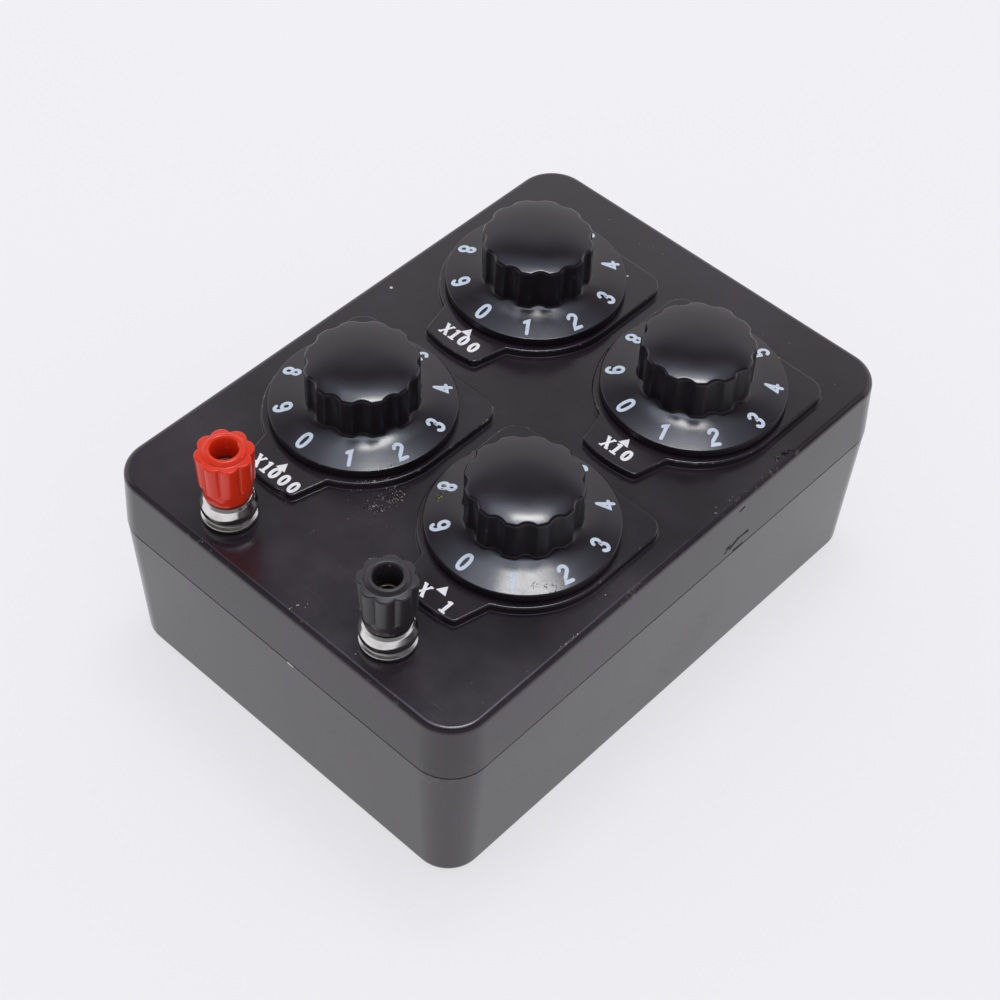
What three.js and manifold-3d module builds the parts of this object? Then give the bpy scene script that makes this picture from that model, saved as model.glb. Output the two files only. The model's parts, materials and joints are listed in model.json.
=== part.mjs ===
// A four-dial decade resistance box: a black moulded case, four turning dials over rotary
// switches with their resistors, and two screw-down binding posts. Millimetres, +Z up.
// The origin is the centre of the underside. +Y runs to the back, along the long side.
import * as THREE from "three";
import { mergeVertices } from "three/addons/utils/BufferGeometryUtils.js";
import Module from "manifold-3d";

const wasm = await Module();
wasm.setup();

// Gaps and cuts
const seatGap = 0.3; // between two pieces that touch
const runGap = 0.2; // around a spindle that turns in its bush
const overrun = 2; // how far a cut runs past what it cuts
const weldDistance = 0.001; // points closer than this are one point

// Case
const edgeMargin = 7; // from the dial plates to the sides
const backMargin = 16.15; // from the dial plates to the back
const frontMargin = 11.3; // from the posts' axes to the front
const baseHeight = 40.5;
const coverHeight = 16.2;
const cornerRadius = 10.4;
const baseWall = 2.5;
const baseFloor = 2.8;
const baseStep = 0.3; // the base stands in from the cover by this at the seam
const baseDraft = 1.54; // each side leans in by this down to the underside
const baseFillet = 4.65;
const coverTop = 2.5;
const coverDraft = 0.73; // each side leans in by this up to the top
const coverFillet = 1.56;
const lipRoot = 0.3; // the lip grows out of the cover's wall by this
const lipThickness = 1.2;
const lipDepth = 2.5;
const lipHeight = 3; // the lip's part above the seam

// Case screws, driven from below
const screwRadius = 1.5;
const screwLength = 24;
const screwHeadRadius = 2.8;
const screwHeadHeight = 2.2;
const screwSlotWidth = 0.8;
const screwSlotDepth = 1;
const pillarRadius = 5;
const pillarBearing = 14.5; // length of pillar above the screw's head
const bossRadius = 4.5;

// Dial places and the raised plates under the dials
const plateRadius = 23;
const plateGapX = 4; // between two plates side by side
const plateGapY = 5; // from a tab's end to the plate in front of it
const plateHeight = 1.9;
const plateForward = 0.65; // the plate's centre lies this far in front of its dial's
const plateCorner = 5;
const plateEdge = 0.4;
const tabReach = 30.4;
const tabRootWidth = 20.4;
const tabEndWidth = 16;

// Knob with its numbered skirt
const skirtMargin = 1.07; // the plate's edge stands out from the skirt by this
const skirtLift = 0.9; // gap from the plate to the skirt's rim
const skirtRim = 1.9;
const skirtRise = 1.85; // from the rim up to the grip
const skirtChamfer = 0.25;
const skirtWall = 1.9;
const skirtRimWall = 1.7;
const gripRadius = 13.35;
const gripTop = 16.9; // grip's edge above the cover
const gripChamfer = 0.5;
const gripCrown = 1.2;
const gripCrownShare = 0.6; // where on the radius the crown has risen by its rise share
const gripCrownRiseShare = 0.64;
const fluteRadius = 1.7;
const fluteDepth = 0.95;
const fluteCount = 12;
const hubRadius = 7;
const hubLift = 1.5;
const boreEnd = 13; // the spindle's top above the cover

// Spindle, bush and index
const spindleRadius = 3;
const spindleFlat = 1; // depth of the flat that drives the knob
const spindleTail = 3; // length below the deck
const bushRadius = 4.5;
const bushFlangeRadius = 6.5;
const bushFlange = 1.5;
const bushProud = 0.9;
const wheelLobeRadius = 9;
const wheelValleyDepth = 0.6;
const wheelThickness = 2;
const springThickness = 0.5;
const springHeight = 3.6;
const springPipDepth = 1.6;
const springPipHalf = 2.6;
const springReach = 13;
const springHold = 2.8; // length of each end that its post holds
const springPostWall = 1.2;
const springPostFloor = 0.6; // how far the post reaches below the spring

// Switch deck with its contacts
const positions = 10;
const deckDrop = 12; // from the cover's inside to the deck
const deckThickness = 1.6;
const deckEdge = 0.3;
const deckPillarRadius = 2.2;
const deckPinRadius = 1.3;
const stakeHeight = 1;
const stakeSpread = 0.1; // the stake's head is wider than the pillar by this
const contactCircle = 13.5;
const contactRadius = 1.6;
const contactHeight = 0.8;
const contactPinRadius = 0.7;
const contactPinLength = 4;
const resistorRadius = 1.15;
const resistorLength = 5.4;
const resistorDrop = 2.4; // from the deck down to the resistors' axis
const leadRadius = 0.35;
const ringInnerRadius = 4.1;
const ringOuterRadius = 6.6;
const ringLegRadius = 0.7;
const ringLegLength = 3.2;
const brushHubRadius = 6;
const brushTipRadius = 1.7;
const brushThickness = 0.8;

// Binding posts
const postPitch = 49.6;
const postShift = 0.4; // both posts stand this far to the right
const postToTab = 10.75; // from a post's axis to the end of the tab behind it
const collarHeight = 7.1;
const collarRadius = 6.5;
const collarFlange = 1;
const collarGrooveRadius = 5.9;
const collarGrooveLow = 1.5;
const collarGrooveHigh = 2.2;
const collarBellyRadius = 6.4;
const collarBellyLow = 3;
const collarBellyHigh = 4.4;
const collarTopRadius = 5.6;
const collarSeatDepth = 1.3;
const studRadius = 3;
const studTop = 15.4;
const studFlangeRadius = 4.3;
const studFlange = 0.9;
const studTailRadius = 2;
const studTailEnd = 11; // below the cover's top
const socketRadius = 2.05;
const socketFloor = 2;
const wireHoleRadius = 1.1;
const wireHoleRise = 0.7; // from the stud's flange to the edge of the cross hole
const capTop = 20.35;
const capLip = 1.05;
const capLipRadius = 4.9;
const capLipEdge = 0.25;
const capRadius = 6.62;
const capShoulderRadius = 5.9;
const capFootRadius = 5.55;
const capFoot = 2.4; // height of the smooth foot below the ribs
const capEdge = 0.4;
const capBoreEdge = 0.3;
const petalCount = 8;
const petalNotchRadius = 0.9;
const petalNotchDepth = 0.65;
const redPetalTurn = THREE.MathUtils.degToRad(35);
const blackPetalTurn = THREE.MathUtils.degToRad(15);
const insertWall = 0.8;
const insertLength = 5.7;
const nutHalfWidth = 3.5;
const nutThickness = 3.2;
const tagThickness = 0.6;
const tagRadius = 4.2;
const tagReach = 9;
const tagTailWidth = 3;
const tagHoleRadius = 0.8;

// Wires
const wireRadius = 0.8;
const wireDrop = 5;
const wireSag = 6;
const wireSteps = 12;
const linkSidestep = 12;
const blackSidestep = -8;

// Numbers of flat faces round the turned pieces. An arc of an outline gets twice its number.
const knobSides = 30;
const postSides = 16;
const spindleSides = 12;
const smallSides = 8;
const tinySides = 6;
const pinSides = 5;
const leadSides = 3;
const arcSteps = 3;
const wireArcSteps = 4;
const roundingSteps = 3;

// Values that follow from the sizes above
const dialPitchX = 2 * plateRadius + plateGapX;
const dialPitchY = plateRadius + tabReach + plateGapY;
const caseWidth = dialPitchX + 2 * (plateRadius + edgeMargin);
const caseLength = frontMargin + postToTab + tabReach + dialPitchY + plateRadius + backMargin;
const postY = frontMargin - caseLength / 2;
const frontDialY = postY + postToTab + tabReach + plateForward;
const skirtRadius = plateRadius - skirtMargin;
const coverFace = baseHeight + coverHeight; // height of the cover's top
const ceiling = -coverTop; // the cover's inside, seen from its top face
const lipInset = baseStep + baseWall + seatGap;
const coverWall = lipInset + lipRoot;
const screwInset = lipInset + lipThickness + seatGap + seatGap + pillarRadius;
const screwSeat = baseHeight - pillarBearing;
const screwTop = screwSeat - seatGap + screwLength;
const knobRimLow = plateHeight + skirtLift;
const knobRimHigh = knobRimLow + skirtRim;
const flangeLow = ceiling - seatGap - bushFlange;
const wheelTop = flangeLow - seatGap;
const wheelMiddle = wheelTop - wheelThickness / 2;
const pipTip = wheelLobeRadius + seatGap;
const springInner = pipTip + springPipDepth;
const springOuter = springInner + springThickness;
const deckTop = ceiling - deckDrop;
const deckBottom = deckTop - deckThickness;
const brushReach = contactCircle + brushTipRadius;
const deckPillarCircle = brushReach + seatGap + seatGap + deckPillarRadius;
const deckRadius = deckPillarCircle + deckPillarRadius + deckEdge;
const brushLow = deckTop + contactHeight + seatGap;
const ringLegPlace = (ringInnerRadius + ringOuterRadius) / 2;
const positionStep = (2 * Math.PI) / positions;
const capLow = collarHeight + seatGap + seatGap;
const capBore = studRadius + seatGap;
const insertOuter = capBore + insertWall;
const tagTop = ceiling - seatGap;
const tagBottom = tagTop - tagThickness;
const nutTop = tagBottom - seatGap;

// Colours and finishes
const blackCase = { color: 0x2d2b2d, roughness: 0.42, metalness: 0 };
const blackKnob = { color: 0x1c1c1f, roughness: 0.2, metalness: 0 };
const redPlastic = { color: 0xe2331f, roughness: 0.4, metalness: 0 };
const blackPlastic = { color: 0x2a2a2c, roughness: 0.5, metalness: 0 };
const nickel = { color: 0xc9c8c4, roughness: 0.2, metalness: 1 };
const brass = { color: 0xb8924a, roughness: 0.35, metalness: 1 };
const steel = { color: 0x9a9ca0, roughness: 0.35, metalness: 1 };
const bronze = { color: 0xa8703f, roughness: 0.35, metalness: 1 };
const laminate = { color: 0x6b4426, roughness: 0.6, metalness: 0 };
const resistorBlue = { color: 0x6f9fb8, roughness: 0.5, metalness: 0 };
const redWire = { color: 0xb8241c, roughness: 0.5, metalness: 0 };
const blackWire = { color: 0x202022, roughness: 0.5, metalness: 0 };
const yellowWire = { color: 0xd8b02a, roughness: 0.5, metalness: 0 };

// Solids

/** Turns a closed geometry into a solid that can be joined and cut. */
function solid(geometry) {
  geometry.deleteAttribute("normal");
  geometry.deleteAttribute("uv");
  const merged = mergeVertices(geometry, weldDistance);
  return new wasm.Manifold(
    new wasm.Mesh({
      numProp: 3,
      vertProperties: merged.attributes.position.array,
      triVerts: new Uint32Array(merged.index.array),
    }),
  );
}

/** Joins a list of solids into one. */
function joined(solids) {
  return solids.reduce((whole, next) => whole.add(next));
}

/** An upright round bar between two heights. */
function rod(radius, low, high, sides, x = 0, y = 0) {
  const geometry = new THREE.CylinderGeometry(radius, radius, high - low, sides);
  geometry.rotateX(Math.PI / 2);
  geometry.translate(x, y, (low + high) / 2);
  return solid(geometry);
}

/** A block given by its two ends on each axis. */
function block([lowX, highX], [lowY, highY], [lowZ, highZ]) {
  const geometry = new THREE.BoxGeometry(highX - lowX, highY - lowY, highZ - lowZ);
  geometry.translate((lowX + highX) / 2, (lowY + highY) / 2, (lowZ + highZ) / 2);
  return solid(geometry);
}

/** A turned solid: its profile is a list of [radius, height] that runs outwards, then up. */
function turned(profile, sides, x = 0, y = 0) {
  const points = profile.map(([radius, height]) => new THREE.Vector2(radius, height));
  const geometry = new THREE.LatheGeometry(points, sides);
  geometry.rotateX(Math.PI / 2);
  geometry.translate(x, y, 0);
  return solid(geometry);
}

/** A flat plate of the given outline between two heights. */
function plate(shape, low, high, curveSegments = arcSteps) {
  const options = { depth: high - low, bevelEnabled: false, curveSegments };
  const geometry = new THREE.ExtrudeGeometry(shape, options);
  geometry.translate(0, 0, low);
  return solid(geometry);
}

/** An outline of a rectangle with round corners, about the origin. */
function roundedRectangle(width, length, radius) {
  const x = width / 2 - radius;
  const y = length / 2 - radius;
  const quarter = Math.PI / 2;
  const shape = new THREE.Shape();
  shape.absarc(x, -y, radius, -quarter, 0);
  shape.absarc(x, y, radius, 0, quarter);
  shape.absarc(-x, y, radius, quarter, Math.PI);
  shape.absarc(-x, -y, radius, Math.PI, Math.PI + quarter);
  shape.closePath();
  return shape;
}

/** The radius of a hole whose flat faces clear a round bar by the seat gap. */
function holeFor(radius) {
  return (radius + seatGap) / Math.cos(Math.PI / (2 * arcSteps));
}

/** Adds a round hole to an outline. */
function pierce(shape, x, y, radius) {
  const hole = new THREE.Path();
  hole.absarc(x, y, radius, 0, 2 * Math.PI, true);
  shape.holes.push(hole);
}

/** A wire or other round tube along a smooth curve through the points. */
function tube(points, radius, steps) {
  const section = new THREE.Shape();
  section.absarc(0, 0, radius, 0, 2 * Math.PI);
  const path = new THREE.CatmullRomCurve3(points);
  const options = { steps, extrudePath: path, curveSegments: wireArcSteps, bevelEnabled: false };
  return solid(new THREE.ExtrudeGeometry(section, options));
}

/** A named mesh made from a solid. */
function piece(name, made, finish) {
  const { vertProperties, triVerts } = made.getMesh();
  const geometry = new THREE.BufferGeometry();
  geometry.setAttribute("position", new THREE.BufferAttribute(vertProperties, 3));
  geometry.setIndex(new THREE.BufferAttribute(triVerts, 1));
  geometry.computeVertexNormals();
  const material = new THREE.MeshStandardMaterial({ ...finish, flatShading: true });
  const mesh = new THREE.Mesh(geometry, material);
  mesh.name = name;
  return mesh;
}

// Case

/**
 * A case-shaped block that starts at the seam and grows away from it by height. Its outline
 * stands in by inset, its sides lean in at the draft's rate, and its far edge is rounded.
 */
function caseBlock(inset, height, draftRate, fillet, opening) {
  const width = caseWidth - 2 * inset;
  const length = caseLength - 2 * inset;
  const shape = roundedRectangle(width, length, cornerRadius - inset);
  const start = opening + fillet + overrun;
  const geometry = new THREE.ExtrudeGeometry(shape, {
    depth: height + start - 2 * fillet,
    bevelEnabled: fillet > 0,
    bevelThickness: fillet,
    bevelSize: fillet,
    bevelOffset: -fillet,
    bevelSegments: roundingSteps,
    curveSegments: arcSteps,
  });
  geometry.translate(0, 0, fillet - start);
  const place = geometry.attributes.position;
  for (let i = 0; i < place.count; i += 1) {
    const lean = 2 * draftRate * place.getZ(i);
    place.setX(i, (place.getX(i) * (width - lean)) / width);
    place.setY(i, (place.getY(i) * (length - lean)) / length);
  }
  const reachX = caseWidth / 2 + start;
  const reachY = caseLength / 2 + start;
  const kept = block([-reachX, reachX], [-reachY, reachY], [-opening, height + overrun]);
  return solid(geometry).intersect(kept);
}

/** Moves a solid that grows from zero up, so that it starts at the seam. */
function aboveSeam(made) {
  return made.translate([0, 0, baseHeight]);
}

/** Turns a solid over, so that it hangs from the seam. */
function belowSeam(made, drop) {
  return made.rotate([180, 0, 0]).translate([0, 0, baseHeight - drop]);
}

/** The four places of the case screws. */
function screwPlaces() {
  const x = caseWidth / 2 - screwInset;
  const y = caseLength / 2 - screwInset;
  return [
    [-x, -y],
    [x, -y],
    [x, y],
    [-x, y],
  ];
}

/** The outline of the raised plate under a dial, about the dial's centre. */
function dialPlateOutline() {
  const rootHalf = tabRootWidth / 2;
  const endHalf = tabEndWidth / 2;
  const rootAngle = Math.acos(rootHalf / plateRadius);
  const endAngle = Math.acos(endHalf / tabReach);
  const side = plateRadius - plateCorner;
  const quarter = Math.PI / 2;
  const shape = new THREE.Shape();
  shape.absarc(0, 0, tabReach, -Math.PI + endAngle, -endAngle);
  shape.absarc(0, 0, plateRadius, -rootAngle, 0);
  shape.absarc(side, side, plateCorner, 0, quarter);
  shape.absarc(-side, side, plateCorner, quarter, Math.PI);
  shape.absarc(0, 0, plateRadius, Math.PI, Math.PI + rootAngle);
  shape.closePath();
  return shape;
}

/** A raised plate with its top edge eased, on the cover at the dial's place. */
function dialPlate(x, y) {
  const geometry = new THREE.ExtrudeGeometry(dialPlateOutline(), {
    depth: plateHeight + coverTop / 2 - 2 * plateEdge,
    bevelEnabled: true,
    bevelThickness: plateEdge,
    bevelSize: plateEdge,
    bevelOffset: -plateEdge,
    bevelSegments: 1,
    curveSegments: arcSteps,
  });
  geometry.translate(x, y, coverFace - coverTop / 2 + plateEdge);
  return solid(geometry);
}

/** A pillar that carries the deck: the pin goes through it and is staked over below. */
function deckPillar(x, y) {
  const pillarEnd = deckTop + seatGap;
  const headTop = deckBottom - seatGap;
  const headRadius = deckPillarRadius + stakeSpread;
  const profile = [
    [0, headTop - stakeHeight],
    [headRadius, headTop - stakeHeight],
    [headRadius, headTop],
    [deckPinRadius, headTop],
    [deckPinRadius, pillarEnd],
    [deckPillarRadius, pillarEnd],
    [deckPillarRadius, ceiling + coverTop / 2],
    [0, ceiling + coverTop / 2],
  ];
  return turned(profile, tinySides, x, y);
}

/** The places of a deck's three pillars, about the dial's centre. */
function deckPillarPlaces() {
  return [1, 5, 9].map((share) => {
    const angle = (share * Math.PI) / 6;
    return [deckPillarCircle * Math.cos(angle), deckPillarCircle * Math.sin(angle)];
  });
}

/** A slotted post that holds one end of the index spring. Side is -1 or 1. */
function springPost(side) {
  const nearX = springReach - springHold;
  const farX = springReach + seatGap + springPostWall;
  const lowY = springInner - seatGap - springPostWall;
  const highY = springOuter + seatGap + springPostWall;
  const springTop = wheelMiddle + springHeight / 2;
  const postLow = wheelMiddle - springHeight / 2 - springPostFloor;
  const rangeX = side > 0 ? [nearX, farX] : [-farX, -nearX];
  const slotEnd = springReach + seatGap;
  const slotX = side > 0 ? [nearX - overrun, slotEnd] : [-slotEnd, -nearX + overrun];
  const slotY = [springInner - seatGap, springOuter + seatGap];
  const post = block(rangeX, [lowY, highY], [postLow, ceiling + coverTop / 2]);
  return post.subtract(block(slotX, slotY, [postLow - overrun, springTop + seatGap]));
}

/** The top cover: shell, lip, dial plates, and all that its inside carries. */
function topCover() {
  const rate = coverDraft / coverHeight;
  const shell = aboveSeam(caseBlock(0, coverHeight, rate, coverFillet, 0));
  const room = aboveSeam(caseBlock(coverWall, coverHeight - coverTop, rate, 0, overrun));
  const lipWhole = caseBlock(lipInset, lipHeight, 0, 0, lipDepth);
  const lipRoom = caseBlock(lipInset + lipThickness, lipHeight + overrun, 0, 0, lipDepth + overrun);
  let cover = shell.subtract(room).add(aboveSeam(lipWhole.subtract(lipRoom)));
  const added = [];
  const cut = [];
  for (const [x, y] of screwPlaces()) {
    added.push(rod(bossRadius, baseHeight + seatGap, coverFace - coverTop / 2, spindleSides, x, y));
    cut.push(rod(screwRadius + seatGap, baseHeight - overrun, screwTop + seatGap, smallSides, x, y));
  }
  for (const { x, y } of dials) {
    added.push(dialPlate(x, y - plateForward));
    for (const [pillarX, pillarY] of deckPillarPlaces()) {
      added.push(deckPillar(x + pillarX, y + pillarY).translate([0, 0, coverFace]));
    }
    added.push(springPost(-1).translate([x, y, coverFace]));
    added.push(springPost(1).translate([x, y, coverFace]));
    const holeLow = coverFace - coverTop - overrun;
    const holeHigh = coverFace + plateHeight + overrun;
    cut.push(rod(bushRadius + seatGap, holeLow, holeHigh, spindleSides, x, y));
  }
  for (const { x } of posts) {
    const holeRadius = studTailRadius + seatGap;
    cut.push(rod(holeRadius, coverFace - coverTop - overrun, coverFace + overrun, spindleSides, x, postY));
  }
  cover = cover.add(joined(added));
  return piece("top_cover", cover.subtract(joined(cut)), blackCase);
}

/** The deep base: shell and four pillars, bored from below for the case screws. */
function baseCase() {
  const rate = baseDraft / baseHeight;
  const height = baseHeight - seatGap;
  const shell = belowSeam(caseBlock(baseStep, height, rate, baseFillet, 0), seatGap);
  const inset = baseStep + baseWall;
  const room = caseBlock(inset, height - baseFloor, rate, baseFillet - baseWall, overrun);
  const pillars = [];
  const holes = [];
  for (const [x, y] of screwPlaces()) {
    pillars.push(rod(pillarRadius, baseFloor / 2, baseHeight - seatGap, spindleSides, x, y));
    holes.push(rod(screwHeadRadius + seatGap, -overrun, screwSeat, spindleSides, x, y));
    holes.push(rod(screwRadius + seatGap, screwSeat - overrun, baseHeight + overrun, smallSides, x, y));
  }
  const body = shell.subtract(belowSeam(room, seatGap)).add(joined(pillars));
  return piece("base_case", body.subtract(joined(holes)), blackCase);
}

/** The four slotted screws that hold the case together. */
function caseScrews() {
  const headTop = screwSeat - seatGap;
  const headLow = headTop - screwHeadHeight;
  const profile = [
    [0, headLow],
    [screwHeadRadius, headLow],
    [screwHeadRadius, headTop],
    [screwRadius, headTop],
    [screwRadius, screwTop],
    [0, screwTop],
  ];
  const slotReach = screwHeadRadius + overrun;
  const slotHalf = screwSlotWidth / 2;
  const slotHeights = [headLow - overrun, headLow + screwSlotDepth];
  const slot = block([-slotReach, slotReach], [-slotHalf, slotHalf], slotHeights);
  return screwPlaces().map(([x, y], index) => {
    const screw = piece(`case_screw_${index + 1}`, turned(profile, smallSides).subtract(slot), steel);
    screw.position.set(x, y, 0);
    return screw;
  });
}

// Decade switch: every height is above the cover's top, at the dial's centre

/** A round bar with one flat side, facing +Y. */
function flattedRod(radius, flatAt, low, high, sides) {
  const reach = radius + overrun;
  const flat = block([-reach, reach], [flatAt, reach], [low - overrun, high + overrun]);
  return rod(radius, low, high, sides).subtract(flat);
}

/** The knob: a fluted grip on a coned skirt, hollow below, with a flatted bore. */
function knobSolid() {
  const gripFoot = knobRimHigh + skirtRise;
  const recess = gripFoot - skirtWall;
  const hubLow = plateHeight + hubLift;
  const rimInner = skirtRadius - skirtRimWall;
  const profile = [
    [0, hubLow],
    [hubRadius, hubLow],
    [hubRadius, recess],
    [gripRadius, recess],
    [rimInner, knobRimHigh - skirtWall + (skirtRise * skirtRimWall) / (skirtRadius - gripRadius)],
    [rimInner, knobRimLow],
    [skirtRadius, knobRimLow],
    [skirtRadius, knobRimHigh - skirtChamfer],
    [skirtRadius - skirtChamfer, knobRimHigh],
    [gripRadius, gripFoot],
    [gripRadius, gripTop - gripChamfer],
    [gripRadius - gripChamfer, gripTop],
    [gripRadius * gripCrownShare, gripTop + gripCrown * gripCrownRiseShare],
    [0, gripTop + gripCrown],
  ];
  const flutes = [];
  for (let i = 0; i < fluteCount; i += 1) {
    const angle = ((i + 1 / 2) * 2 * Math.PI) / fluteCount;
    const reach = gripRadius + fluteRadius - fluteDepth;
    const x = reach * Math.cos(angle);
    const y = reach * Math.sin(angle);
    flutes.push(rod(fluteRadius, gripFoot + seatGap, gripTop + gripCrown + overrun, tinySides, x, y));
  }
  const flatAt = spindleRadius - spindleFlat + seatGap;
  const bore = flattedRod(spindleRadius + seatGap, flatAt, -overrun, boreEnd + seatGap, spindleSides);
  return turned(profile, knobSides).subtract(joined(flutes)).subtract(bore);
}

/** The steel spindle, flatted at the top for the knob. */
function spindleSolid() {
  const low = deckBottom - spindleTail;
  const flatLow = plateHeight + hubLift;
  const reach = spindleRadius + overrun;
  const flatRange = [spindleRadius - spindleFlat, reach];
  const flat = block([-reach, reach], flatRange, [flatLow, boreEnd + overrun]);
  return rod(spindleRadius, low, boreEnd, spindleSides).subtract(flat);
}

/** The bush that the spindle turns in, pressed into the cover from below. */
function bushSolid() {
  const bore = spindleRadius + runGap;
  const top = plateHeight + bushProud;
  const profile = [
    [bore, flangeLow],
    [bushFlangeRadius, flangeLow],
    [bushFlangeRadius, ceiling - seatGap],
    [bushRadius, ceiling - seatGap],
    [bushRadius, top],
    [bore, top],
    [bore, flangeLow],
  ];
  return turned(profile, spindleSides);
}

/** The index wheel: one shallow valley for each position of the switch. */
function wheelSolid() {
  const shape = new THREE.Shape();
  const pointsPerLobe = 4;
  const count = positions * pointsPerLobe;
  for (let i = 0; i <= count; i += 1) {
    const angle = Math.PI / 2 + (i * 2 * Math.PI) / count;
    const depth = (wheelValleyDepth * (1 + Math.cos(positions * (angle - Math.PI / 2)))) / 2;
    const radius = wheelLobeRadius - depth;
    const place = [radius * Math.cos(angle), radius * Math.sin(angle)];
    if (i === 0) shape.moveTo(...place);
    else shape.lineTo(...place);
  }
  pierce(shape, 0, 0, holeFor(spindleRadius));
  return plate(shape, wheelTop - wheelThickness, wheelTop, wireArcSteps);
}

/** The leaf spring whose pip drops into the index wheel. */
function springSolid() {
  const shape = new THREE.Shape();
  shape.moveTo(-springReach, springInner);
  shape.lineTo(-springPipHalf, springInner);
  shape.lineTo(0, pipTip);
  shape.lineTo(springPipHalf, springInner);
  shape.lineTo(springReach, springInner);
  shape.lineTo(springReach, springOuter);
  shape.lineTo(springPipHalf, springOuter);
  shape.lineTo(0, pipTip + springThickness);
  shape.lineTo(-springPipHalf, springOuter);
  shape.lineTo(-springReach, springOuter);
  shape.closePath();
  return plate(shape, wheelMiddle - springHeight / 2, wheelMiddle + springHeight / 2);
}

/** The brush that the spindle carries from contact to contact, pointing to -Y. */
function brushSolid() {
  const neck = Math.asin(brushTipRadius / brushHubRadius);
  const down = -Math.PI / 2;
  const shape = new THREE.Shape();
  shape.absarc(0, 0, brushHubRadius, down + neck, down - neck + 2 * Math.PI);
  shape.absarc(0, -contactCircle, brushTipRadius, Math.PI, 2 * Math.PI);
  shape.closePath();
  pierce(shape, 0, 0, holeFor(spindleRadius));
  return plate(shape, brushLow, brushLow + brushThickness, wireArcSteps);
}

/** The angle of a contact: the numbers grow against the way that the knob turns. */
function contactAngle(index) {
  return -Math.PI / 2 - index * positionStep;
}

/** The laminate deck with a hole for everything that goes through it. */
function deckSolid() {
  const shape = new THREE.Shape();
  shape.absarc(0, 0, deckRadius, 0, 2 * Math.PI);
  const outline = new THREE.Shape(shape.getSpacedPoints(postSides).slice(0, postSides));
  pierce(outline, 0, 0, holeFor(spindleRadius));
  for (let i = 0; i < positions; i += 1) {
    const x = contactCircle * Math.cos(contactAngle(i));
    const y = contactCircle * Math.sin(contactAngle(i));
    pierce(outline, x, y, holeFor(contactPinRadius));
  }
  pierce(outline, 0, ringLegPlace, holeFor(ringLegRadius));
  for (const [x, y] of deckPillarPlaces()) {
    pierce(outline, x, y, holeFor(deckPinRadius));
  }
  return plate(outline, deckBottom, deckTop);
}

/** The collector ring that the brush's hub rubs on, with its leg through the deck. */
function ringSolid() {
  const low = deckTop + seatGap;
  const high = deckTop + contactHeight;
  const profile = [
    [ringInnerRadius, low],
    [ringOuterRadius, low],
    [ringOuterRadius, high],
    [ringInnerRadius, high],
    [ringInnerRadius, low],
  ];
  const leg = rod(ringLegRadius, deckBottom - ringLegLength, (low + high) / 2, tinySides, 0, ringLegPlace);
  return turned(profile, spindleSides).add(leg);
}

/** A resistor on its leads between two contact pins. */
function resistorSolid(from, to) {
  const middle = from.clone().add(to).multiplyScalar(1 / 2);
  const along = to.clone().sub(from);
  const lead = new THREE.CylinderGeometry(leadRadius, leadRadius, along.length(), leadSides);
  const body = new THREE.CylinderGeometry(resistorRadius, resistorRadius, resistorLength, pinSides);
  const turn = new THREE.Quaternion().setFromUnitVectors(
    new THREE.Vector3(0, 1, 0),
    along.clone().normalize(),
  );
  for (const geometry of [lead, body]) {
    geometry.applyQuaternion(turn);
    geometry.translate(middle.x, middle.y, middle.z);
  }
  return solid(lead).add(solid(body));
}

/** The ten contacts and the nine resistors soldered between them, as one chain. */
function chainSolid() {
  const headLow = deckTop + seatGap / 2;
  const headTop = deckTop + contactHeight;
  const pinLow = deckBottom - contactPinLength;
  const profile = [
    [0, pinLow],
    [contactPinRadius, pinLow],
    [contactPinRadius, headLow],
    [contactRadius, headLow],
    [contactRadius, headTop],
    [0, headTop],
  ];
  const parts = [];
  const pins = [];
  for (let i = 0; i < positions; i += 1) {
    const x = contactCircle * Math.cos(contactAngle(i));
    const y = contactCircle * Math.sin(contactAngle(i));
    pins.push(new THREE.Vector3(x, y, deckBottom - resistorDrop));
    parts.push(turned(profile, pinSides, x, y));
  }
  for (let i = 1; i < positions; i += 1) {
    parts.push(resistorSolid(pins[i - 1], pins[i]));
  }
  return joined(parts);
}

/** One decade: what stands still and, in a group of its own, what turns with the knob. */
function decade({ name, x, y, turn }) {
  const group = new THREE.Group();
  group.position.set(x, y, coverFace);
  group.add(
    piece(`bush_${name}`, bushSolid(), brass),
    piece(`index_spring_${name}`, springSolid(), steel),
    piece(`switch_deck_${name}`, deckSolid(), laminate),
    piece(`collector_ring_${name}`, ringSolid(), brass),
    piece(`resistor_chain_${name}`, chainSolid(), resistorBlue),
  );
  const rotor = new THREE.Group();
  rotor.rotation.z = turn;
  rotor.add(
    piece(`knob_${name}`, knobSolid(), blackKnob),
    piece(`spindle_${name}`, spindleSolid(), steel),
    piece(`index_wheel_${name}`, wheelSolid(), brass),
    piece(`brush_${name}`, brushSolid(), bronze),
  );
  group.add(rotor);
  return group;
}

// Binding post: every height is above the cover's top, at the post's centre

/** The plated collar between the cover and the cap. */
function collarSolid() {
  const bore = studRadius + seatGap;
  const seat = collarHeight - collarSeatDepth;
  const seatRadius = studFlangeRadius + seatGap;
  const profile = [
    [bore, seatGap],
    [collarRadius, seatGap],
    [collarRadius, collarFlange],
    [collarGrooveRadius, collarGrooveLow],
    [collarGrooveRadius, collarGrooveHigh],
    [collarBellyRadius, collarBellyLow],
    [collarBellyRadius, collarBellyHigh],
    [collarTopRadius, collarHeight],
    [seatRadius, collarHeight],
    [seatRadius, seat],
    [bore, seat],
    [bore, seatGap],
  ];
  return turned(profile, postSides);
}

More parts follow.
